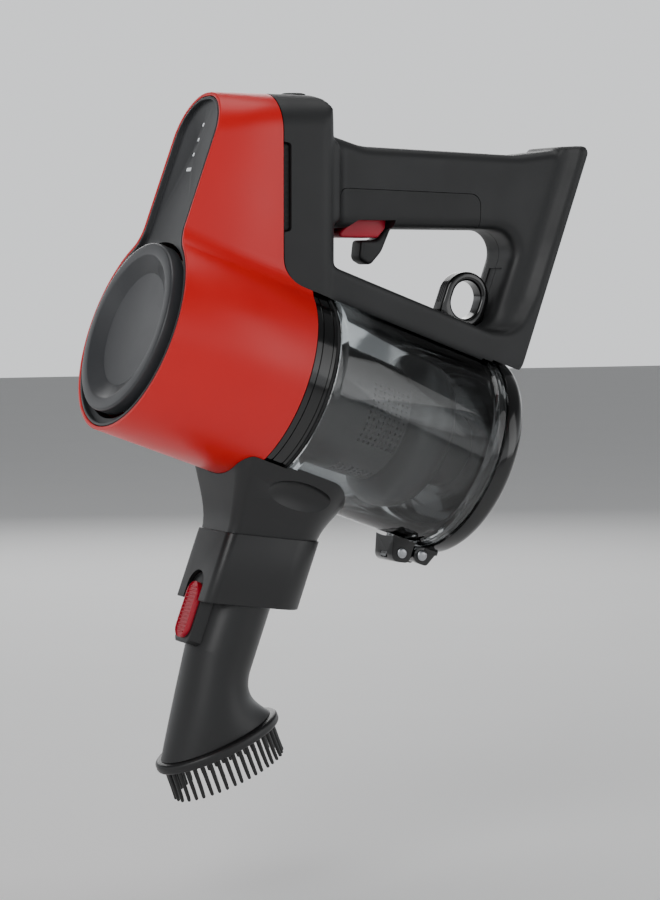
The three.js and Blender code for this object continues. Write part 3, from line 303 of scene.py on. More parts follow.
def teardrop_body(x0, x1, inset):
    return loft([teardrop(x0, inset), teardrop(x1, inset)])


def behind_seam(shift):
    """Everything behind the seam, the seam moved back by shift."""
    corner, rise = up(SEAM_X + shift, 0), up(0, 1)
    z = SEAM_Z + shift
    foot = corner + rise * ((z - corner.y) / rise.y)
    return plate([rounded([(up(SEAM_X + shift, 170), 0), (foot, SEAM_R),
                           ((400, z), 0), ((400, 300), 0)], 20)], 60)


FASCIA_DEPTH = 5.3  # pocket the fascia sits in
# Gloss ABS in signal red. A polished mould gives it a clear, even reflection
# with a trace of orange peel about 3 mm across.
red_abs = moulded("red_satin_abs", "D20004", "DA0007", 0.36, 0.04, 3.0, 0.004)
housing = combine("DIFFERENCE", teardrop_body(0, 120, 0), teardrop_body(-1, 121, WALL),
                  behind_seam(0), block(BODY_LENGTH, 200, -80, 80, -80, SEAM_Z),
                  teardrop_body(-1, FASCIA_DEPTH, 2))
piece("red_housing", soften(housing, 0.45), red_abs, "main_body", "red_gloss_abs",
      "motor_housing")

# ------------------------------------------------------------------- fascia
# Grey front panel let into the red shell's mouth: satin ABS, dished inside a
# narrow raised lip, with four lit marks up the neck and a round opening.
cap_low, cap_high = span("filter_cap")
CAP_R = cap_high.y
CAP_GROOVE = 2.2
fascia = combine("DIFFERENCE", teardrop_body(0, 5, 2.3), teardrop_body(-1, 2.6, 3.9),
                 lathe([(-1, 0), (-1, CAP_R + CAP_GROOVE), (6, CAP_R + CAP_GROOVE), (6, 0)]))
collar = lathe([(4.5, CAP_R + CAP_GROOVE), (11, CAP_R + CAP_GROOVE),
                (11, CAP_R + CAP_GROOVE + 2), (4.5, CAP_R + CAP_GROOVE + 2)])
combine("UNION", fascia, collar)
for mark in range(4):
    z, half = 85.5 + 8 * mark, 2.85 if mark == 0 else 1.15
    combine("DIFFERENCE", fascia, block(-1, 12, -half, half, z - 1.15, z + 1.15))
# Satin ABS in mid grey: a finely etched mould gives a soft, wide highlight.
fascia_abs = moulded("fascia_satin_abs", "2B2C2E", "323335", 0.4, 0.04, 0.6, 0.012)
piece("fascia_panel", soften(fascia, 0.35), fascia_abs, "main_body", "fascia_abs",
      "front_fascia")

# Frosted polycarbonate light pipe behind the fascia: milky, softly lit marks.
frosted = bpy.data.materials.new("frosted_light_pipe")
frosted.use_nodes = True
tree = frosted.node_tree
tree.nodes.clear()
place = add(tree, "ShaderNodeTexCoord", {})
haze = add(tree, "ShaderNodeTexNoise", {"Scale": 900.0}, [("Vector", place, "Object")])
milk = add(tree, "ShaderNodeMix", {"data_type": "RGBA", 6: linear("C9CBCD"), 7: linear("F2F4F5")},
           [("Factor", haze, "Fac")])
surface = add(tree, "ShaderNodeBsdfPrincipled",
              {"Roughness": 0.5, "IOR": 1.58, "Emission Strength": 0.25,
               "Emission Color": linear("E8EEF2")}, [("Base Color", milk, 2)])
add(tree, "ShaderNodeOutputMaterial", {}, [("Surface", surface, "BSDF")])
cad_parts["led_light_pipe"].data.materials[0] = frosted

# --------------------------------------------------------------- filter cap
# Round cap that turns off to free the exhaust filter: one satin ABS moulding,
# a flat rim, a coned wall and a plain sunk disc.
RIM = CAP_R - 6.4
FRONT, BACK = cap_low.x, cap_high.x
cap_abs = moulded("cap_satin_abs", "37383A", "3D3E41", 0.36, 0.04, 0.6, 0.01)
piece("round_cap", lathe(
    [(1.4, 0), (1.4, RIM - 8.6), (1.3, RIM - 8.2), (1.0, RIM - 7.9), (-2.7, RIM - 0.9),
     (-3.1, RIM - 0.4), (FRONT + 0.15, RIM + 0.1), (FRONT, RIM + 0.7), (FRONT, CAP_R - 1.4),
     (FRONT + 0.2, CAP_R - 0.6), (FRONT + 0.7, CAP_R - 0.1), (FRONT + 1.2, CAP_R),
     (BACK, CAP_R), (BACK, CAP_R - 2.4), (3.4, CAP_R - 4.4), (3.4, 0)], 160),
    cap_abs, "filter_cap", "cap_abs", "filter_cap", angle=50)

# ----------------------------------------------------------- exhaust filter
# Pleated paper ring behind the cap, glued into two thin end bands.
filter_low, filter_high = span("exhaust_filter")
PLEATS = 72


def pleated(x):
    ring = []
    for i in range(PLEATS * 2):
        a = math.tau * i / (PLEATS * 2)
        r = filter_high.y - 0.4 - (2.6 if i % 2 else 0)
        ring.append(Vector((x, r * math.sin(a), r * math.cos(a))))
    return ring


paper = bpy.data.materials.new("filter_paper")
paper.use_nodes = True
tree = paper.node_tree
tree.nodes.clear()
place = add(tree, "ShaderNodeTexCoord", {})
# Cellulose fibres, drawn about 0.5 mm long so that they show.
fibre = add(tree, "ShaderNodeTexNoise", {"Scale": 2000.0, "Detail": 4.0, "Distortion": 1.5},
            [("Vector", place, "Object")])
tint = add(tree, "ShaderNodeMix", {"data_type": "RGBA", 6: linear("D9D4C3"), 7: linear("F0EDE2")},
           [("Factor", fibre, "Fac")])
bump = add(tree, "ShaderNodeBump", {"Distance": 0.0001}, [("Height", fibre, "Fac")])
surface = add(tree, "ShaderNodeBsdfPrincipled", {"Roughness": 0.9},
              [("Base Color", tint, 2), ("Normal", bump, "Normal")])
add(tree, "ShaderNodeOutputMaterial", {}, [("Surface", surface, "BSDF")])
ends = 1.6
pleats = loft([pleated(filter_low.x + ends), pleated(filter_high.x - ends)])
for x in (filter_low.x, filter_high.x - ends):
    combine("UNION", pleats, lathe([(x, 0), (x, filter_high.y), (x + ends, filter_high.y),
                                    (x + ends, 0)], 96))
combine("DIFFERENCE", pleats, lathe([(filter_low.x - 1, 0), (filter_low.x - 1, 8),
                                     (filter_high.x + 1, 8), (filter_high.x + 1, 0)], 64))
piece("pleated_filter", pleats, paper, "exhaust_filter", "filter_paper", "exhaust_filter",
      angle=20)

# ------------------------------------------------------------------- handle
# Two half shells screwed together down the middle: neck, hollow grip, rear
# pillar and the bar over the bin, in charcoal ABS from a spark-eroded mould.
# Grip and pillar run into a wider flat band with a hollow sweep.
NECK_REAR = 105
GRIP_HALF, GRIP_TOP, GRIP_UNDER = 17, 92, 50.5
REAR_X = span("handle_shell_left")[1].x
BAND_T, BAND_HALF, BAND_TOP = 6.5, 24, 95.5
PILLAR_T, BAR_TOP = 21.5, 64.5

neck_side = plate([rounded([(up(40, 119), 0), (up(102.5, 118), 9), (up(104, 100), 8),
                            (up(NECK_REAR, 88), 4), (up(NECK_REAR, 10), 0),
                            (up(40, 10), 0)], 10)], 60)
corner = 10
plan = ([Vector((0, -NECK_HALF))]
        + arc(NECK_REAR - corner, corner - NECK_HALF, corner, -90, 0, 10)
        + arc(NECK_REAR - corner, NECK_HALF - corner, corner, 0, 90, 10)
        + [Vector((0, NECK_HALF))])
neck_plan = loft([[Vector((*up(p.x, z), p.y)).xzy for p in plan] for z in (-60, 180)])
neck = combine("INTERSECT", teardrop_body(-10, 125, 0), neck_side, neck_plan)

foot = BAR_TOP - 26
loop = rounded([((66, foot), 0), (up(78, 107), 0), (up(98, 107), 9), (up(104, 98.5), 14),
                (up(124, GRIP_TOP + 0.8), 30), (up(216, GRIP_TOP - 1.8), 40),
                (up(250, BAND_TOP - 1), 9), ((REAR_X - 2, 150), 9), ((REAR_X - 2, foot), 9)], 10)
inner = REAR_X - PILLAR_T
under = up(175, GRIP_UNDER)
rear_top = under + up(1, 0) * ((inner - under.x) / up(1, 0).x)
low = up(NECK_REAR, 0) + up(0, 1) * ((BAR_TOP - up(NECK_REAR, 0).y) / up(0, 1).y)
opening = rounded([(up(NECK_REAR, GRIP_UNDER), 3), (rear_top, 12), ((inner, BAR_TOP), 12),
                   (low, 10)], 10)


def band(forward):
    """Flat band down the rear and along the base, its inner edge forward by so
    much: the wider steps of the sweep into grip and pillar."""
    x = REAR_X - BAND_T - forward
    return rounded([((70, SEAM_Z), 0), ((70, BAR_TOP - 0.4), 0), ((185, BAR_TOP - 0.4), 0),
                    ((x - 4, BAR_TOP + 4), 14), ((x, 90), 8), (up(249 - forward, BAND_TOP - 8), 0),
                    (up(251 - forward, BAND_TOP - 0.04 * forward), 0), (up(258.6, BAND_TOP), 3.4),
                    ((REAR_X, SEAM_Z), 8)], 10)


solid = combine("UNION", neck, plate([loop, opening], GRIP_HALF, 6))
for forward, half in ((0, BAND_HALF), (1.6, 21.6), (3.4, 20), (5.6, 18.7), (8.2, 17.6)):
    combine("UNION", solid, plate([band(forward)], half, 2 if forward == 0 else 1))
# Sweep of the neck's back into the grip.
for back, half in ((1.6, 22), (3.2, 20), (5.2, 18.6)):
    fill = rounded([(up(96, 101 - back * 0.6), 0), (up(NECK_REAR + back, 95 - back), 2),
                    (up(NECK_REAR + back, GRIP_UNDER + 3), 2), (up(96, GRIP_UNDER + 3), 0)], 4)
    combine("UNION", solid, plate([fill], half, 0.8))


def melted(bm, cell, rounds):
    """Even mesh of cells that size with its inner corners melted smooth."""
    mesh = bpy.data.meshes.new("melt")
    bm.to_mesh(mesh)
    holder = bpy.data.objects.new("melt", mesh)
    bpy.context.scene.collection.objects.link(holder)
    step = holder.modifiers.new("even", "REMESH")
    step.mode = "VOXEL"
    step.voxel_size = cell
    step = holder.modifiers.new("melt", "SMOOTH")
    step.factor = 0.5
    step.iterations = rounds
    seen = bpy.context.evaluated_depsgraph_get()
    result = bpy.data.meshes.new_from_object(holder.evaluated_get(seen))
    bm.clear()
    bm.from_mesh(result)
    bpy.data.objects.remove(holder)
    bpy.data.meshes.remove(mesh)
    bpy.data.meshes.remove(result)
    return bm


solid = melted(solid, 1.2, 9)
bin_low, bin_high = span("bin_shell")
lid_low, lid_high = span("bin_lid")


def disc(x0, x1, r):
    return lathe([(x0, 0), (x0, r), (x1, r), (x1, 0)], 120)


def grip_part(extra):
    """Room of the separate lower half of the grip, grown by extra."""
    return plate([rounded([(up(107 - extra, 40), 0), (up(107.5 - extra, 70.8 + extra), 6),
                           (up(193 + extra, 68.8 + extra), 6), (up(193 + extra, 40), 0)])], 40)


ring_low, ring_high = span("release_ring")
whole = combine("INTERSECT", solid.copy(), behind_seam(GAP))
combine("DIFFERENCE", whole,
        block(-20, BODY_LENGTH, -80, 80, -80, SEAM_Z + GAP),
        disc(BODY_LENGTH - 1, bin_high.x - 8, BODY_R - 0.3),
        disc(bin_high.x - 9, lid_low.x + 5, 54.7), disc(lid_low.x + 2, 400, 55.8),
        block(bin_high.x - 11, REAR_X + 5, -9, 9, 40, 62.4), grip_part(GAP),
        block(ring_low.x - 0.4, ring_high.x + 0.5, -6.4, 6.4, BAR_TOP + 0.1, ring_high.z + 8),
        block(bin_high.x - 8.8, bin_high.x - 4, -4.4, 4.4, 50, BAR_TOP + 2))
for side in (-1, 1):
    slot = plate([rounded([(up(SEAM_X - 2, 47.5), 0), (up(SEAM_X + 4.3, 48.5), 2),
                           (up(SEAM_X + 4.3, 92.5), 2), (up(SEAM_X - 2, 93.5), 0)])], 3)
    bmesh.ops.translate(slot, vec=(0, side * (NECK_HALF - 1), 0), verts=slot.verts)
    combine("DIFFERENCE", whole, slot)
BUTTON_X = 90.7
well = loft([[Vector((*up(BUTTON_X + p.x, z), p.y)).xzy for p in arc(0, 0, 7.3, 0, 360, 48)[:-1]]
             for z in (101, 140)])
combine("DIFFERENCE", whole, well)
jack_low, jack_high = span("charging_jack")
jack_bore = disc(REAR_X - 12, REAR_X + 1, 4.9)
bmesh.ops.translate(jack_bore, vec=(0, 0, (jack_low.z + jack_high.z) / 2), verts=jack_bore.verts)
combine("DIFFERENCE", whole, jack_bore)
left = combine("DIFFERENCE", whole.copy(), block(-50, 400, -0.15, 90, -120, 320))
right = combine("DIFFERENCE", whole, block(-50, 400, -90, 0.15, -120, 320))
for p in (up(92, 34), up(198, 78), Vector((199, 108)), up(120, 59.5)):
    sink = loft([[Vector((p.x + q.x, y, p.y + q.y)) for q in arc(0, 0, 3.2, 0, 360, 32)[:-1]]
                 for y in (8, 60)])
    combine("DIFFERENCE", right, sink)
# Charcoal ABS with spark-eroded grain, drawn 0.8 mm across so that it shows:
# a dull sheen that greys a little in broad random patches.
handle_abs = moulded("charcoal_grained_abs", "161718", "1C1D1E", 0.5, 0.05, 0.8, 0.02)
piece("handle_half_left", left, handle_abs, "main_body", "handle_abs", "handle_shell_left",
      angle=45)
piece("handle_half_right", right, handle_abs, "main_body", "handle_abs", "handle_shell_right",
      angle=45)

# -------------------------------------------------------------- grip insert
# Lower half of the grip with the finger guard: a separate moulding of the same
# grained ABS, a shade darker, snapped up between the half shells.
TRIGGER_FRONT, TRIGGER_REAR, TRIGGER_HALF = 110.5, 136, 9
mouth = plate([rounded([(up(TRIGGER_FRONT - 2, 30), 0), (up(TRIGGER_FRONT - 1, 46.5), 4),
                        (up(120, 54.8), 5), (up(TRIGGER_REAR + 6, 54.8), 0),
                        (up(TRIGGER_REAR + 6, 30), 0)])], 40)
w = TRIGGER_HALF + GAP
shaft = loft([[Vector((*up(x, z), y)).xzy for x, y in
               ((TRIGGER_FRONT - GAP, -w), (TRIGGER_REAR + 5.4, -w),
                (TRIGGER_REAR + 5.4, w), (TRIGGER_FRONT - GAP, w))] for z in (40, 66)])
insert = combine("INTERSECT", solid, grip_part(0))
combine("DIFFERENCE", insert, mouth, shaft)
guard = plate([rounded([(up(151, 56), 0), (up(145.4, 50), 9), (up(140.2, 38.6), 14),
                        (up(133.2, 31.2), 3.4), (up(126.8, 34.6), 3.6), (up(128, 44.6), 2),
                        (up(137.4, 44.8), 5), (up(142.4, 51), 4), (up(142.8, 56), 0)], 10)],
              5.9, 2)
combine("UNION", insert, guard)
insert_abs = moulded("grip_grained_abs", "111213", "161718", 0.52, 0.05, 0.8, 0.02)
piece("grip_lower_half", insert, insert_abs, "main_body", "grip_abs", "grip_insert", angle=40)

# -------------------------------------------------------- trigger and vents
# Crimson trigger: a satin ABS blade with rounded edges that slides up into the
# grip. Dark slatted vent strips are set into the slot beside each seam.
crimson_abs = moulded("crimson_satin_abs", "A80022", "B4042A", 0.36, 0.04, 0.7, 0.012)
blade = plate([rounded([(up(TRIGGER_FRONT, 45.8), 1.9), (up(119, 53.8), 6), (up(119, 58), 0),
                        (up(TRIGGER_REAR + 4.6, 58), 0), (up(TRIGGER_REAR + 4.6, 51), 3),
                        (up(TRIGGER_REAR, 45.8), 2.2)])], TRIGGER_HALF, 1.4)
stem = loft([[Vector((*up(x, z), y)).xzy for x, y in ((126, -2), (130, -2), (130, 2), (126, 2))]
             for z in (57, 65)])
combine("UNION", blade, stem)
piece("trigger_blade", blade, crimson_abs, "trigger", "crimson_abs", "trigger")

vent_abs = moulded("vent_matte_abs", "0E0E0F", "151516", 0.55, 0.05, 0.6, 0.01)
for side, name in ((-1, "left"), (1, "right")):
    y0 = side * (NECK_HALF - 3.9)
    strip = plate([rounded([(up(SEAM_X + 0.9, 49.2), 0.5), (up(SEAM_X + 3.9, 49.2), 1.4),
                            (up(SEAM_X + 3.9, 91.8), 1.4), (up(SEAM_X + 0.9, 91.8), 0.5)])],
                  0.6)
    slats = 14
    for k in range(slats):
        z = 50.6 + k * (40 / (slats - 1))
        bar = plate([[up(SEAM_X + 1.2, z - 0.7), up(SEAM_X + 3.6, z - 0.7),
                      up(SEAM_X + 3.6, z + 0.7), up(SEAM_X + 1.2, z + 0.7)]], 1.0)
        combine("UNION", strip, bar)
    bmesh.ops.translate(strip, vec=(0, side * (NECK_HALF - 2.9), 0), verts=strip.verts)
    piece(f"vent_slats_{name}", strip, vent_abs, "main_body", "matte_black_abs",
          f"vent_grille_{name}")

# -------------------------------------------------------------- mode button
# Round gloss-black button on the crown, slightly dished, on its own spring.
# Gloss black ABS: a polished mould, deep and mirror-like with no visible grain.
gloss_black = moulded("gloss_black_abs", "040404", "070708", 0.14, 0.03, 3.0, 0.004, coat=0.4)
profile = [(109, 0), (109, 8), (110.4, 8), (110.4, 6.9), (118.2, 6.9), (118.9, 6.6),
           (119.2, 6), (119.25, 5.4), (119, 4.8), (118.8, 3), (118.8, 0)]
button = lathe(profile, 64)
upright = (Matrix.Rotation(-TILT, 4, "Y") @ Matrix.Translation((BUTTON_X, 0, 0))
           @ Matrix.Rotation(-math.pi / 2, 4, "Y"))
bmesh.ops.transform(button, matrix=upright, verts=button.verts)
piece("mode_button_top", button, gloss_black, "mode_button", "gloss_black_abs", "mode_button",
      angle=50)

# ------------------------------------------------------------- release ring
# Pull ring over the bin: a fat gloss-black loop with a grooved band, standing
# on a flat foot whose tongue reaches down to the bin's catch.
RING_X, RING_Z, RING_R, RING_HOLE = 176, 79, 13.4, 8.6
loop = (arc(RING_X, RING_Z + 1, RING_R, 0, 180, 40)
        + [Vector((RING_X - RING_R, BAR_TOP + 4)), Vector((RING_X - RING_R + 2, BAR_TOP + 1)),
           Vector((RING_X + RING_R - 2, BAR_TOP + 1)), Vector((RING_X + RING_R, BAR_TOP + 4))])
hole = (arc(RING_X, RING_Z + 1, RING_HOLE, 0, 180, 30)
        + arc(RING_X, RING_Z - 2.2, RING_HOLE, 180, 360, 30))
ring = plate([loop, hole], 5, 1.9, 6)
for offset in (-1.6, 0, 1.6):
    groove = lathe([(-0.35, RING_R - 0.35), (0.35, RING_R - 0.35), (0.35, RING_R + 2),
                    (-0.35, RING_R + 2)], 96)
    bmesh.ops.transform(groove, verts=groove.verts,
                        matrix=Matrix.Translation((RING_X, offset, RING_Z + 1))
                        @ Matrix.Rotation(math.pi / 2, 4, "Z"))
    combine("DIFFERENCE", ring, groove)
combine("UNION", ring,
        soften(block(ring_low.x, RING_X + RING_R - 1, -6, 6, BAR_TOP + 0.3, BAR_TOP + 2.3), 0.5),
        block(bin_high.x - 8.4, bin_high.x - 4.4, -4, 4, ring_low.z, BAR_TOP + 2))
piece("pull_ring", ring, gloss_black, "release_ring", "gloss_black_abs", "release_ring")

# ---------------------------------------------------------------- seat ring
# Gloss-black ring between housing and bin, moulded with two fine grooves, its top cut away.
seat_low, seat_high = span("bin_seat_ring")
front, back = seat_low.x, seat_high.x
outer = seat_high.y
seat = lathe([(front, 20), (front, outer - 0.5), (front + 0.5, outer), (front + 3, outer),
              (front + 3.2, outer - 0.5), (front + 3.8, outer - 0.5), (front + 4, outer),
              (back - 3, outer), (back - 2.8, outer - 0.4), (back - 2.2, outer - 0.4),
              (back - 2, outer), (back - 0.4, outer), (back, outer - 0.4), (back, 48.6),
              (front + 2.4, 48.6), (front + 2.4, 20)], 160)
combine("DIFFERENCE", seat, block(0, 200, -40, 40, BODY_R - 3.3, 80))
piece("seat_ring", seat, gloss_black, "main_body", "gloss_black_abs", "bin_seat_ring", angle=40)

# --------------------------------------------------------- premotor filter
# Disc of grey open-cell foam against the motor's intake.
foam = bpy.data.materials.new("filter_foam")
foam.use_nodes = True
tree = foam.node_tree
tree.nodes.clear()
place = add(tree, "ShaderNodeTexCoord", {})
cells = add(tree, "ShaderNodeTexVoronoi", {"Scale": 900.0}, [("Vector", place, "Object")])
tint = add(tree, "ShaderNodeMix", {"data_type": "RGBA", 6: linear("2E3237"), 7: linear("6A7078")},
           [("Factor", cells, "Distance")])
bump = add(tree, "ShaderNodeBump", {"Distance": 0.0006}, [("Height", cells, "Distance")])
surface = add(tree, "ShaderNodeBsdfPrincipled", {"Roughness": 0.95},
              [("Base Color", tint, 2), ("Normal", bump, "Normal")])
add(tree, "ShaderNodeOutputMaterial", {}, [("Surface", surface, "BSDF")])
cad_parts["premotor_filter"].data.materials[0] = foam

# ------------------------------------------------------------------ cyclone
# Matte-black cyclone inside the bin: a shroud with four patches of punched
# holes, a bell-shaped skirt over it and the tube that drops dust to the lid.
cyclone_abs = moulded("cyclone_matte_abs", "0A0A0B", "0F0F10", 0.42, 0.05, 0.7, 0.012)
SHROUD_R, SHROUD_END = 31.6, 150.5
HOLE_PITCH = 3.1
shroud_low, shroud_high = span("cyclone_shroud")


def punched(bm, middle, columns, rows, x0):
    """A patch of the shroud's wall: square cells, each with a round hole."""
    step = math.degrees(HOLE_PITCH / SHROUD_R)

    def wall(x, turn, r):
        a = math.radians(turn)
        return bm.verts.new((x, r * math.sin(a), r * math.cos(a)))

    rim = [(-1, -1), (0, -1), (1, -1), (1, 0), (1, 1), (0, 1), (-1, 1), (-1, 0)]
    for i in range(columns):
        for j in range(rows):
            x = x0 + (i + 0.5) * HOLE_PITCH
            turn = middle + (j - rows / 2 + 0.5) * step
            square = [wall(x + u * HOLE_PITCH / 2, turn + v * step / 2, SHROUD_R) for u, v in rim]
            mouth, depth = [], []
            for u, v in rim:
                size = 0.31 / math.hypot(u, v)
                mouth.append(wall(x + u * HOLE_PITCH * size, turn + v * step * size, SHROUD_R))
                depth.append(wall(x + u * HOLE_PITCH * size, turn + v * step * size,
                                  SHROUD_R - 1.6))
            for k in range(8):
                n = (k + 1) % 8
                bm.faces.new((square[k], square[n], mouth[n], mouth[k]))
                bm.faces.new((mouth[k], mouth[n], depth[n], depth[k]))


patch_x, patch_columns, patch_rows = 124.5, 8, 11
patch_turn = math.degrees(patch_rows * HOLE_PITCH / SHROUD_R)
patch_end = patch_x + patch_columns * HOLE_PITCH
shroud = lathe([(shroud_low.x, SHROUD_R - 2), (shroud_low.x, 48.6), (shroud_low.x + 3.6, 48.6),
                (shroud_low.x + 3.6, SHROUD_R + 1.2), (shroud_low.x + 4.8, SHROUD_R),
                (patch_x, SHROUD_R), (patch_x, SHROUD_R - 2)], 128)
tail = lathe([(patch_end, SHROUD_R - 2), (patch_end, SHROUD_R), (SHROUD_END - 0.4, SHROUD_R),
              (SHROUD_END, SHROUD_R - 0.4), (SHROUD_END, SHROUD_R - 2)], 128)
liner = lathe([(patch_x, SHROUD_R - 3), (patch_x, SHROUD_R - 1.6), (patch_end, SHROUD_R - 1.6),
               (patch_end, SHROUD_R - 3)], 96)
for more in (tail, liner):
    spare = bpy.data.meshes.new("spare")
    more.to_mesh(spare)
    shroud.from_mesh(spare)
    bpy.data.meshes.remove(spare)
for quarter in range(4):
    middle = -90 + 90 * quarter
    punched(shroud, middle, patch_columns, patch_rows, patch_x)
    # plain rib between this patch and the next
    turns = [middle + patch_turn / 2 + (90 - patch_turn) * k / 8 for k in range(9)]
    rows = [[shroud.verts.new((x, SHROUD_R * math.sin(math.radians(t)),
                               SHROUD_R * math.cos(math.radians(t)))) for t in turns]
            for x in (patch_x, patch_end)]
    for k in range(8):
        shroud.faces.new((rows[0][k], rows[0][k + 1], rows[1][k + 1], rows[1][k]))
bmesh.ops.remove_doubles(shroud, verts=shroud.verts, dist=0.005)
piece("cyclone_screen", shroud, cyclone_abs, "main_body", "matte_black_abs", "cyclone_shroud")

x = SHROUD_END + GAP
bell = [(x, SHROUD_R), (x + 1, SHROUD_R + 1.8), (x + 2.6, 36.4), (x + 4.6, 39.4), (x + 7, 41.8),
        (x + 10, 43.1), (x + 13, 43.4), (x + 16, 43.2), (x + 19, 42.2), (x + 21.6, 40.6),
        (x + 23.8, 38.4), (x + 26, 35), (x + 28.6, 30.4), (x + 31.4, 26.4), (x + 34, 23.6),
        (x + 36.2, 22)]
piece("cyclone_bell", lathe(bell + [(px, r - 2) for px, r in reversed(bell)], 128), cyclone_abs,
      "main_body", "matte_black_abs", "cyclone_skirt", angle=60)
tube_low, tube_high = span("collector_tube")
piece("dust_tube", lathe([(tube_low.x, 20), (tube_low.x, 22), (tube_high.x - 0.6, 22),
                          (tube_high.x, 21.4), (tube_high.x, 20)], 96),
      cyclone_abs, "main_body", "matte_black_abs", "collector_tube")

# ---------------------------------------------------------------- clear bin
# Dust bin: one injection moulding in clear polycarbonate, 2.1 mm thick, with a
# rounded ring at each end, a hinge lug below and a gloss-black catch on top.
clear_pc = bpy.data.materials.new("clear_polycarbonate")
clear_pc.use_nodes = True
tree = clear_pc.node_tree
tree.nodes.clear()
place = add(tree, "ShaderNodeTexCoord", {})
# Flow waviness of the moulding, about 9 mm long, and haze rubbed in by dust.
flow = add(tree, "ShaderNodeTexNoise", {"Scale": 110.0, "Detail": 1.0},
           [("Vector", place, "Object")])
rub = add(tree, "ShaderNodeTexNoise", {"Scale": 60.0, "Detail": 4.0},
          [("Vector", place, "Object")])
haze = add(tree, "ShaderNodeMapRange", {"From Min": 0.35, "From Max": 0.75, "To Min": 0.02,
                                        "To Max": 0.07}, [("Value", rub, "Fac")])
tint = add(tree, "ShaderNodeMix", {"data_type": "RGBA", 6: linear("D9DDDF"), 7: linear("E6E9EA")},
           [("Factor", rub, "Fac")])
bump = add(tree, "ShaderNodeBump", {"Distance": 0.00002}, [("Height", flow, "Fac")])
surface = add(tree, "ShaderNodeBsdfPrincipled", {"IOR": 1.585, "Transmission Weight": 1.0},
              [("Base Color", tint, 2), ("Roughness", haze, "Result"),
               ("Normal", bump, "Normal")])
add(tree, "ShaderNodeOutputMaterial", {}, [("Surface", surface, "BSDF")])

BIN_R, LIP_R, NOSE_R = 52.4, 53.8, 53.0
inside = BIN_R - 2.1
x0, x1 = bin_low.x, bin_high.x
shell = lathe([(x0, inside), (x0, NOSE_R - 0.5), (x0 + 0.5, NOSE_R), (x0 + 3.6, NOSE_R),
               (x0 + 4.6, BIN_R + 0.1), (x0 + 5.4, BIN_R), (x1 - 7.2, BIN_R),
               (x1 - 6.2, BIN_R + 0.5), (x1 - 5.4, LIP_R - 0.2), (x1 - 4.6, LIP_R),
               (x1 - 0.6, LIP_R), (x1, LIP_R - 0.6), (x1, inside)], 192)
pin_low, pin_high = span("bracket_pin")
pin_x, pin_z = (pin_low.x + pin_high.x) / 2, (pin_low.z + pin_high.z) / 2
lug = block(pin_x - 5, pin_x + 5, -3, 3, pin_z - 4, -BIN_R + 1)
combine("UNION", shell, lug)
duct = loft([[Vector((108 + q.x, q.y, z)) for q in arc(0, 0, 13.5, 0, 360, 64)[:-1]]
             for z in (-60, -40)])
eye = loft([[Vector((pin_x + q.x, y, pin_z + q.y)) for q in arc(0, 0, 1.9, 0, 360, 24)[:-1]]
            for y in (-5, 5)])
combine("DIFFERENCE", shell, duct, eye)
piece("clear_bin", shell, clear_pc, "bin", "clear_pc", "bin_shell", angle=40)
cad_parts["bin_catch"].data.materials[0] = gloss_black

# ---------------------------------------------------------------- lid, hinge
# Gloss-black lid with a rounded edge and two shallow rings turned in its face,
# hung on a fork and two riveted pins; a rubber lip seals it.
x0, x1 = 194.4, lid_high.x
LID_R = lid_high.y
lid = lathe([(x0, 0), (x0, LID_R - 0.8), (x0 + 0.3, LID_R - 0.25), (x0 + 1, LID_R),
             (x0 + 6.6, LID_R), (x0 + 8.4, LID_R - 0.5), (x0 + 10, LID_R - 1.9),
             (x0 + 11.1, LID_R - 3.8), (x1, LID_R - 6), (x1, 42), (x1 - 0.5, 41.5),
             (x1 - 0.5, 40.3), (x1, 39.8), (x1, 24), (x1 - 0.5, 23.5), (x1 - 0.5, 22.3),
             (x1, 21.8), (x1, 0)], 192)
combine("DIFFERENCE", lid, lathe([(x0 - 1, 0), (x0 - 1, 46), (x0 + 7, 45.4), (x0 + 8, 44.4),
                                  (x0 + 8, 0)], 128))
for r in (26, 36):
    combine("UNION", lid, lathe([(x0 + 6.4, r), (x0 + 8.6, r), (x0 + 8.6, r + 1.2),
                                 (x0 + 6.4, r + 1.2)], 96))
HINGE_X, HINGE_Z, KNUCKLE = 193.7, -58.3, 4.6
ear_shape = rounded([((HINGE_X - KNUCKLE, HINGE_Z + KNUCKLE), 4.5),
                     ((HINGE_X - KNUCKLE, HINGE_Z - KNUCKLE), 4.5),
                     ((HINGE_X + KNUCKLE, HINGE_Z - KNUCKLE), 2), ((x0 + 8, -LID_R + 1), 0),
                     ((x0 + 8, -LID_R + 4), 0), ((x0 + 0.4, -LID_R + 4), 0),
                     ((x0 + 0.4, HINGE_Z + KNUCKLE), 0)])
combine("UNION", lid, block(x0 + 1, x0 + 9, -8.3, 8.3, 43, 49),
        block(x0, x0 + 8, -10, 10, -LID_R - 1, -50))
for y in (-8, 8):
    ear = plate([ear_shape], 1.7, 0.3, 2)
    bmesh.ops.translate(ear, vec=(0, y, 0), verts=ear.verts)
    combine("UNION", lid, ear)


def bore(x, z, r, half):
    return loft([[Vector((x + q.x, y, z + q.y)) for q in arc(0, 0, r, 0, 360, 32)[:-1]]
                 for y in (-half, half)])


combine("DIFFERENCE", lid, block(x0 - 1, x0 + 9.4, -7.3, 7.3, 49, 70),
        bore(HINGE_X, HINGE_Z, 1.9, 12),
        block(HINGE_X - 6, x0 + 9, -6, 6, HINGE_Z - 6, HINGE_Z + KNUCKLE + 0.4),
        disc(x0 - 20, x0 - 0.01, LIP_R + GAP))
piece("bin_lid_cover", lid, gloss_black, "lid", "gloss_black_abs", "bin_lid", angle=35)

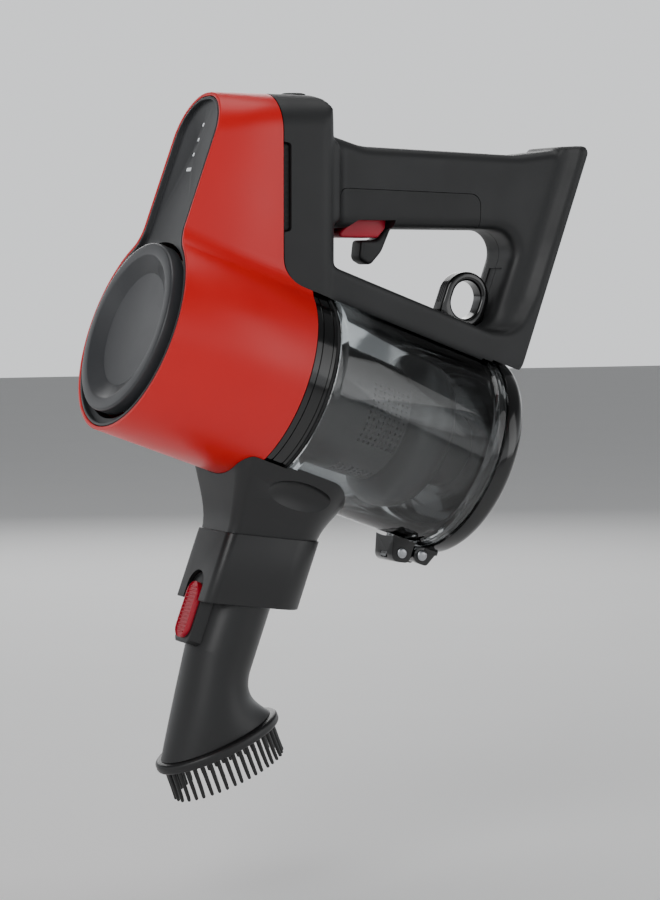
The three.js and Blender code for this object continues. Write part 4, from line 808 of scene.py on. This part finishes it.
fork = plate([rounded([((pin_x - 8.5, -50.8), 0), ((pin_x - 4, pin_z - 6), 4),
                       ((pin_x + 6, pin_z - 4), 3), ((pin_x + 6.2, -50.8), 0)])], 9.7, 0.5, 2)
combine("DIFFERENCE", fork, disc(150, 220, LIP_R + GAP))
arm = soften(block(pin_x, HINGE_X, -5.7, 5.7, HINGE_Z - 3, HINGE_Z + 2.6), 0.5)
combine("UNION", fork, arm, bore(HINGE_X, HINGE_Z, KNUCKLE - 0.4, 5.7))
combine("DIFFERENCE", fork, block(pin_x - 5.3, pin_x + 5.3, -3.3, 3.3, pin_z - 4.3, -40),
        bore(HINGE_X, HINGE_Z, 1.9, 12), bore(pin_x, pin_z, 1.9, 12))
piece("hinge_fork", fork, gloss_black, "bin", "gloss_black_abs", "hinge_bracket", angle=35)

# Steel pins with domed, polished heads: nickel-plated mild steel.
steel = bpy.data.materials.new("plated_steel")
steel.use_nodes = True
tree = steel.node_tree
tree.nodes.clear()
place = add(tree, "ShaderNodeTexCoord", {})
draw = add(tree, "ShaderNodeTexNoise", {"Scale": 1400.0, "Detail": 3.0},
           [("Vector", place, "Object")])
tint = add(tree, "ShaderNodeMix", {"data_type": "RGBA", 6: linear("9A9C9F"), 7: linear("BCBEC1")},
           [("Factor", draw, "Fac")])
brush = add(tree, "ShaderNodeMapRange", {"To Min": 0.22, "To Max": 0.4}, [("Value", draw, "Fac")])
surface = add(tree, "ShaderNodeBsdfPrincipled", {"Metallic": 1.0},
              [("Base Color", tint, 2), ("Roughness", brush, "Result")])
add(tree, "ShaderNodeOutputMaterial", {}, [("Surface", surface, "BSDF")])
for name, x, z in (("bracket_pin", pin_x, pin_z), ("hinge_pin", HINGE_X, HINGE_Z)):
    pin = lathe([(-11.1, 0), (-11.1, 1.6), (-10.9, 2.3), (-10.4, 2.8), (-10, 2.8), (-10, 1.6),
                 (10, 1.6), (10, 2.8), (10.4, 2.8), (10.9, 2.3), (11.1, 1.6), (11.1, 0)], 40)
    bmesh.ops.transform(pin, verts=pin.verts, matrix=Matrix.Translation((x, 0, z))
                        @ Matrix.Rotation(math.pi / 2, 4, "Z"))
    piece(f"{name}_rivet", pin, steel, "bin", "bright_steel", name)
for name in ("trigger_spring", "mode_button_spring", "release_spring", "lid_latch_spring",
             "tool_button_spring", "handle_screw_1", "handle_screw_2", "handle_screw_3",
             "handle_screw_4", "bearing_front", "bearing_rear"):
    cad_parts[name].data.materials[0] = steel

# --------------------------------------------------------------- inlet tube
# Tube under the bin that tools plug into: a flat-fronted, round-backed sleeve
# flaring into a saddle on the bin, moulded in satin charcoal ABS.
SLEEVE_FRONT, SLEEVE_REAR, SLEEVE_HALF = 77, 135, 20
SLEEVE_TOP, SLEEVE_LENGTH = -76, 37
SLANT = math.radians(12)
SADDLE_HALF = 37
SPIGOT_X, SPIGOT_R = 102, 18
BLOCK_HALF, BLOCK_TOP = 8.5, -107


def sleeve_section(inset):
    h, f, c = SLEEVE_HALF - inset, SLEEVE_FRONT + inset, 5
    return (arc(f + c, c - h, c, -180, -90, 8)
            + arc(SLEEVE_REAR - SLEEVE_HALF, 0, h, -90, 90, 48)
            + arc(f + c, h - c, c, 90, 180, 8))


def slanted(x, z):
    return z + (x - SPIGOT_X) * math.tan(SLANT)


def saddle_ring(t):
    ease = t * t * (3 - 2 * t)
    grow = 1 + ease * (SADDLE_HALF / SLEEVE_HALF - 1)
    ring = []
    for q in sleeve_section(1.2):
        x = q.x + ease * (62 + (q.x - SLEEVE_FRONT) * 84 / 58 - q.x)
        z = slanted(q.x, SLEEVE_TOP - 2)
        ring.append(Vector((x, q.y * grow, z + t * (-34 - z))))
    return ring


sleeve = loft([[Vector((q.x, q.y, slanted(q.x, z))) for q in sleeve_section(0)]
               for z in (SLEEVE_TOP - SLEEVE_LENGTH, SLEEVE_TOP)])
tube = combine("UNION", soften(sleeve, 0.6, 50), loft([saddle_ring(k / 12) for k in range(13)]))
# Broad scoop sunk in each flank of the saddle.
for side in (-1, 1):
    scoop = bmesh.new()
    bmesh.ops.create_uvsphere(scoop, u_segments=64, v_segments=40, radius=1)
    bmesh.ops.scale(scoop, vec=(25, 9, 15), verts=scoop.verts)
    bmesh.ops.rotate(scoop, cent=(0, 0, 0), verts=scoop.verts,
                     matrix=Matrix.Rotation(math.radians(side * 22), 3, "X"))
    bmesh.ops.translate(scoop, vec=(106, side * 34, -60), verts=scoop.verts)
    combine("DIFFERENCE", tube, scoop)
socket = loft([[Vector((SPIGOT_X + q.x, q.y, z)) for q in arc(0, 0, SPIGOT_R + GAP, 0, 360, 96)[:-1]]
               for z in (-150, SLEEVE_TOP - SLEEVE_LENGTH + 33.3)])
duct = loft([[Vector((108 + q.x, q.y, z)) for q in arc(0, 0, 13.5, 0, 360, 64)[:-1]]
             for z in (-90, -30)])
relief = loft([[Vector((124.5 + q.x, q.y, z)) for q in arc(0, 0, 5.5, 0, 360, 32)[:-1]]
               for z in (-130, -96)])
h = BLOCK_HALF + GAP
notch = loft([[Vector((x, q.x, q.y)) for q in
               arc(0, BLOCK_TOP - BLOCK_HALF + 4, h, 0, 180, 32) + [Vector((-h, -160)),
                                                                   Vector((h, -160))]]
              for x in (60, SPIGOT_X)])
combine("DIFFERENCE", tube, disc(40, 200, BIN_R + GAP), disc(40, bin_low.x - GAP, BODY_R + GAP),
        disc(bin_low.x - GAP, bin_low.x + 5.6, NOSE_R + GAP), socket, duct, relief, notch)
tube_abs = moulded("tube_satin_abs", "121314", "181819", 0.38, 0.05, 0.7, 0.012)
piece("inlet_sleeve", tube, tube_abs, "bin", "tube_abs", "inlet_tube", angle=35)

# --------------------------------------------------------------- brush tool
# Dusting brush: a satin ABS horn that swells from the round neck to a slanted
# oval mouth, with an arched block on its front for the release button.
NECK_END = -141
BRUSH_TILT = math.radians(41)
BRUSH_X, BRUSH_Z = 114.5, -180.5
BRUSH_LENGTH, BRUSH_WIDTH = 70, 47


def horn_ring(t, share=1.0, steps=96):
    """Oval of the horn at share t of its way down, between a straight front
    edge and a hollow rear edge."""
    reach = BRUSH_LENGTH / 2 - 3.5
    end = Vector((reach * math.cos(BRUSH_TILT), reach * math.sin(BRUSH_TILT)))
    mouth = Vector((BRUSH_X, BRUSH_Z))
    front = Vector((SPIGOT_X - SPIGOT_R, NECK_END)).lerp(mouth - end, t)
    rear = ((1 - t) ** 3 * Vector((SPIGOT_X + SPIGOT_R, NECK_END))
            + 3 * (1 - t) ** 2 * t * Vector((119.5, -153))
            + 3 * (1 - t) * t * t * Vector((124, -157)) + t ** 3 * (mouth + end))
    centre, long = (front + rear) / 2, (rear - front) / 2
    ease = t * t * (3 - 2 * t)
    b = SPIGOT_R + ease * (BRUSH_WIDTH / 2 - 3.5 - SPIGOT_R)
    return [Vector((centre.x + q.x * long.x * share, q.y * b * share,
                    centre.y + q.x * long.y * share))
            for q in arc(0, 0, 1, 0, 360, steps)[:-1]]


def upright_tube(r, z0, z1, steps=96):
    return loft([[Vector((SPIGOT_X + q.x, q.y, z)) for q in arc(0, 0, r, 0, 360, steps)[:-1]]
                 for z in (z0, z1)])


horn = loft([horn_ring(k / 20) for k in range(21)])
neck_top = SLEEVE_TOP - SLEEVE_LENGTH + 33
tool_low, tool_high = span("tool_button")
BLOCK_FRONT, BLOCK_BOTTOM = 79, -140.5
face = (arc(0, BLOCK_TOP - BLOCK_HALF + 4, BLOCK_HALF, 0, 180, 32)
        + [Vector((-BLOCK_HALF, BLOCK_BOTTOM + 2)), Vector((-BLOCK_HALF + 2, BLOCK_BOTTOM)),
           Vector((BLOCK_HALF - 2, BLOCK_BOTTOM)), Vector((BLOCK_HALF, BLOCK_BOTTOM + 2))])
housing = loft([[Vector((x, q.x, q.y)) for q in face] for x in (BLOCK_FRONT, SPIGOT_X - 6)])
combine("UNION", horn, upright_tube(SPIGOT_R, NECK_END, neck_top), soften(housing, 0.7, 50))
combine("DIFFERENCE", horn, upright_tube(SPIGOT_R - 2.5, NECK_END - 1, neck_top + 1),
        loft([horn_ring(k / 20, 0.84) for k in range(21)]))


def button_oval(half, x0, x1, steps=24):
    """Upright oval facing forwards, from x0 to x1."""
    top, low = BLOCK_TOP - 1.8, BLOCK_BOTTOM + 2.2
    run, middle = (top - low) / 2 - half, (top + low) / 2
    outline = (arc(0, middle + run, half, 0, 180, steps)
               + arc(0, middle - run, half, 180, 360, steps))
    return loft([[Vector((x, q.x, q.y)) for q in outline] for x in (x0, x1)])


combine("DIFFERENCE", horn, button_oval(6.8, BLOCK_FRONT - 5, BLOCK_FRONT + 5.2))
piece("brush_horn", horn, tube_abs, "brush_tool", "tube_abs", "tool_body", angle=35)

# Release button: crimson satin ABS with a plain rim and a field of fine ribs.
x0, x1 = tool_low.x, tool_high.x
button = soften(button_oval(6.5, x0, x1), 0.6, 50)
combine("DIFFERENCE", button, button_oval(5.2, x0 - 1, x0 + 0.7))
ribs = 13
z0, z1 = BLOCK_BOTTOM + 2.2 + 3, BLOCK_TOP - 1.8 - 3
for k in range(ribs):
    z = z0 + (z1 - z0) * k / (ribs - 1)
    reach = 4.9 if 2 < k < ribs - 3 else 4.4
    reach = 3.0 if k in (0, ribs - 1) else reach
    rib = plate([[Vector((x0 + 1.2, z - 0.55)), Vector((x0 + 0.15, z - 0.2)),
                  Vector((x0 + 0.15, z + 0.2)), Vector((x0 + 1.2, z + 0.55))]], reach)
    combine("UNION", button, rib)
piece("ribbed_button", button, crimson_abs, "tool_button", "crimson_abs", "tool_button", angle=35)

# --------------------------------------------------------- rim and bristles
# Rounded rim clipped round the horn's mouth, holding a ring of stiff black
# nylon bristles, each tapered and a little splayed at its tip.
RIM_T, BRISTLE_L, BRISTLES = 5.5, 17, 38


def rim_place(x, y, down):
    """A place on the rim: x and y across its oval, down from its upper face."""
    c, s = math.cos(BRUSH_TILT), math.sin(BRUSH_TILT)
    return Vector((BRUSH_X + x * c + down * s, y, BRUSH_Z + x * s - down * c))


def rim_ring(extra, down, steps=128):
    return [rim_place(q.x * (BRUSH_LENGTH / 2 + extra), q.y * (BRUSH_WIDTH / 2 + extra), down)
            for q in arc(0, 0, 1, 0, 360, steps)[:-1]]


rim = loft([rim_ring(extra, down) for extra, down in
            ((-1.6, GAP), (-0.8, GAP + 0.25), (-0.2, GAP + 0.8), (0, GAP + 1.6), (0, RIM_T - 1.6),
             (-0.3, RIM_T - 0.8), (-0.9, RIM_T - 0.2), (-1.7, RIM_T))])
groove = loft([rim_ring(-2.2, 2.8), rim_ring(-2.2, 20)])
combine("DIFFERENCE", groove, loft([rim_ring(-7.0, 2), rim_ring(-7.0, 21)]))
combine("DIFFERENCE", rim, loft([rim_ring(-9, -5), rim_ring(-9, 20)]), groove)
piece("brush_rim_ring", rim, tube_abs, "brush_tool", "tube_abs", "brush_rim", angle=40)

# Stiff nylon: drawn filament with a waxy sheen and a faint random grey mottle.
nylon = bpy.data.materials.new("bristle_nylon")
nylon.use_nodes = True
tree = nylon.node_tree
tree.nodes.clear()
place = add(tree, "ShaderNodeTexCoord", {})
draw = add(tree, "ShaderNodeTexNoise", {"Scale": 500.0, "Detail": 3.0},
           [("Vector", place, "Object")])
tint = add(tree, "ShaderNodeMix", {"data_type": "RGBA", 6: linear("070708"), 7: linear("151516")},
           [("Factor", draw, "Fac")])
wax = add(tree, "ShaderNodeMapRange", {"To Min": 0.3, "To Max": 0.5}, [("Value", draw, "Fac")])
bump = add(tree, "ShaderNodeBump", {"Distance": 0.00005}, [("Height", draw, "Fac")])
surface = add(tree, "ShaderNodeBsdfPrincipled", {"IOR": 1.53},
              [("Base Color", tint, 2), ("Roughness", wax, "Result"), ("Normal", bump, "Normal")])
add(tree, "ShaderNodeOutputMaterial", {}, [("Surface", surface, "BSDF")])

strip = loft([rim_ring(-2.4, 3.2), rim_ring(-2.4, RIM_T - 0.4)])
combine("DIFFERENCE", strip, loft([rim_ring(-6.8, 0), rim_ring(-6.8, 20)]))
a, b = BRUSH_LENGTH / 2 - 4.5, BRUSH_WIDTH / 2 - 4.5
walk, total = [0.0], 0.0
for k in range(720):
    t = math.tau * (k + 0.5) / 720
    total += math.hypot(a * math.sin(t), b * math.cos(t)) * math.tau / 720
    walk.append(total)
spare = bpy.data.meshes.new("spare")
for n in range(BRISTLES):
    reach = total * n / BRISTLES
    k = next(k for k in range(720) if walk[k + 1] > reach)
    t = math.tau * (k + (reach - walk[k]) / (walk[k + 1] - walk[k])) / 720
    x, y = a * math.cos(t), b * math.sin(t)
    lean = 0.25 * math.sin(n * 2.4)
    rings = []
    for down, r, splay in ((RIM_T - 1.8, 1.2, 0), (RIM_T + 2, 1.2, 0), (RIM_T + 9, 1.1, 0.15),
                           (RIM_T + 14, 1.0, 0.5), (RIM_T + BRISTLE_L - 0.9, 0.92, 0.8),
                           (RIM_T + BRISTLE_L - 0.3, 0.6, 0.85)):
        rings.append([rim_place(x * (1 + splay / 60) + r * q.x + lean * splay,
                                y * (1 + splay / 60) + r * q.y, down)
                      for q in arc(0, 0, 1, 0, 360, 10)[:-1]])
    rod = loft(rings)
    rod.to_mesh(spare)
    rod.free()
    strip.from_mesh(spare)
bpy.data.meshes.remove(spare)
piece("nylon_bristles", strip, nylon, "brush_tool", "bristle_nylon", "brush_bristles", angle=40)

# ------------------------------------------------------------- inner pieces
# Motor, cells, board and seals stay as built: turned aluminium, lamination
# steel, shrink sleeve, green solder resist, rubber and black nylon.


def turned_metal(name, dull, bright, roughness):
    """Metal with fine rings of turning marks about the cylinder's axis."""
    material = bpy.data.materials.new(name)
    material.use_nodes = True
    tree = material.node_tree
    tree.nodes.clear()
    place = add(tree, "ShaderNodeTexCoord", {})
    marks = add(tree, "ShaderNodeTexWave", {"Scale": 160.0, "Distortion": 1.5, "Detail": 2.0},
                [("Vector", place, "Object")])
    tint = add(tree, "ShaderNodeMix", {"data_type": "RGBA", 6: linear(dull), 7: linear(bright)},
               [("Factor", marks, "Fac")])
    bump = add(tree, "ShaderNodeBump", {"Distance": 0.00005}, [("Height", marks, "Fac")])
    surface = add(tree, "ShaderNodeBsdfPrincipled", {"Metallic": 1.0, "Roughness": roughness},
                  [("Base Color", tint, 2), ("Normal", bump, "Normal")])
    add(tree, "ShaderNodeOutputMaterial", {}, [("Surface", surface, "BSDF")])
    return material


aluminium = turned_metal("turned_aluminium", "A9ABAD", "C6C8CA", 0.34)
lamination = turned_metal("lamination_steel", "6E7174", "8C8F92", 0.45)
rubber = moulded("seal_rubber", "161617", "1F1F20", 0.8, 0.05, 1.2, 0.03)
sleeve_wrap = moulded("cell_shrink_sleeve", "2A7F96", "3390A8", 0.3, 0.05, 2.5, 0.02)
resist = moulded("solder_resist", "124A28", "1B5E35", 0.35, 0.05, 1.5, 0.02)
black_nylon = moulded("moulded_black_nylon", "141415", "1C1C1D", 0.5, 0.05, 0.8, 0.01)
for finish, names in (
        (aluminium, ("motor_casing", "motor_end_plate", "impeller")),
        (lamination, ("motor_stator", "motor_rotor")),
        (rubber, ("motor_mount", "bin_seal", "lid_seal")),
        (sleeve_wrap, ("battery_cell_1", "battery_cell_2", "battery_cell_3", "battery_cell_4")),
        (resist, ("control_board",)),
        (black_nylon, ("fan_shroud", "vortex_cone", "power_switch", "mode_switch",
                       "battery_tray", "charging_jack")),
        (gloss_black, ("lid_latch",))):
    for name in names:
        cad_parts[name].data.materials[0] = finish

# ---------------------------------------------------- floor, light, camera
# Pale matt floor below the reach of the pulled brush, soft studio light, and a long lens set at
# the viewing angle, level and a little above the grip.
low, high = (Vector(corner) for corner in cad_box)
pale = bpy.data.materials.new("pale_floor")
pale.use_nodes = True
tree = pale.node_tree
tree.nodes.clear()
place = add(tree, "ShaderNodeTexCoord", {})
mottle = add(tree, "ShaderNodeTexNoise", {"Scale": 6.0}, [("Vector", place, "Object")])
tint = add(tree, "ShaderNodeMix", {"data_type": "RGBA", 6: linear("F6F6F6"), 7: linear("FAFAFA")},
           [("Factor", mottle, "Fac")])
surface = add(tree, "ShaderNodeBsdfPrincipled", {"Roughness": 0.8}, [("Base Color", tint, 2)])
add(tree, "ShaderNodeOutputMaterial", {}, [("Surface", surface, "BSDF")])
bpy.ops.mesh.primitive_plane_add(size=14, location=(0, 0, low.z - 0.06))
floor = bpy.context.object
floor.name = "floor"
floor.data.materials.append(pale)

middle = (low + high) / 2


def softbox(name, place, size, power, shade="FFFFFF"):
    light = bpy.data.lights.new(name, "AREA")
    light.shape = "RECTANGLE"
    light.size, light.size_y = size
    light.energy = power
    light.color = linear(shade)[:3]
    holder = bpy.data.objects.new(name, light)
    holder.location = middle + Vector(place)
    holder.rotation_euler = (-Vector(place)).to_track_quat("-Z", "Y").to_euler()
    bpy.context.scene.collection.objects.link(holder)


softbox("softbox_key", (-1.5, -1.3, 1.2), (1.1, 1.4), 17)
softbox("softbox_fill", (1.5, -1.6, 0.6), (1.0, 1.6), 5)
softbox("softbox_top", (0.1, 0.2, 1.7), (1.6, 1.2), 10)
softbox("softbox_back", (0.6, 1.7, 0.8), (1.4, 1.0), 12)

# Pale horizon all round that dims towards the ceiling.
world = bpy.data.worlds.new("studio")
bpy.context.scene.world = world
world.use_nodes = True
tree = world.node_tree
tree.nodes.clear()
place = add(tree, "ShaderNodeTexCoord", {})
axes = add(tree, "ShaderNodeSeparateXYZ", {}, [("Vector", place, "Generated")])
fall = add(tree, "ShaderNodeMapRange", {"From Min": 0.12, "From Max": 0.5, "To Min": 1.1,
                                        "To Max": 0.16}, [("Value", axes, "Z")])
glow = add(tree, "ShaderNodeBackground", {"Color": linear("F6F8FA")},
           [("Strength", fall, "Result")])
add(tree, "ShaderNodeOutputWorld", {}, [("Surface", glow, "Background")])

lens = bpy.data.cameras.new("camera")
lens.lens = 104
lens.sensor_fit = "VERTICAL"
lens.sensor_height = 36
lens.clip_start = 0.05
camera = bpy.data.objects.new("camera", lens)
camera.location = ((-524.7 - GRIP[0]) / 1000, -1.1902, (23.6 - GRIP[1]) / 1000)
camera.rotation_euler = Vector((0.471, 0.880, -0.065)).to_track_quat("-Z", "Y").to_euler()
bpy.context.scene.collection.objects.link(camera)
bpy.context.scene.camera = camera
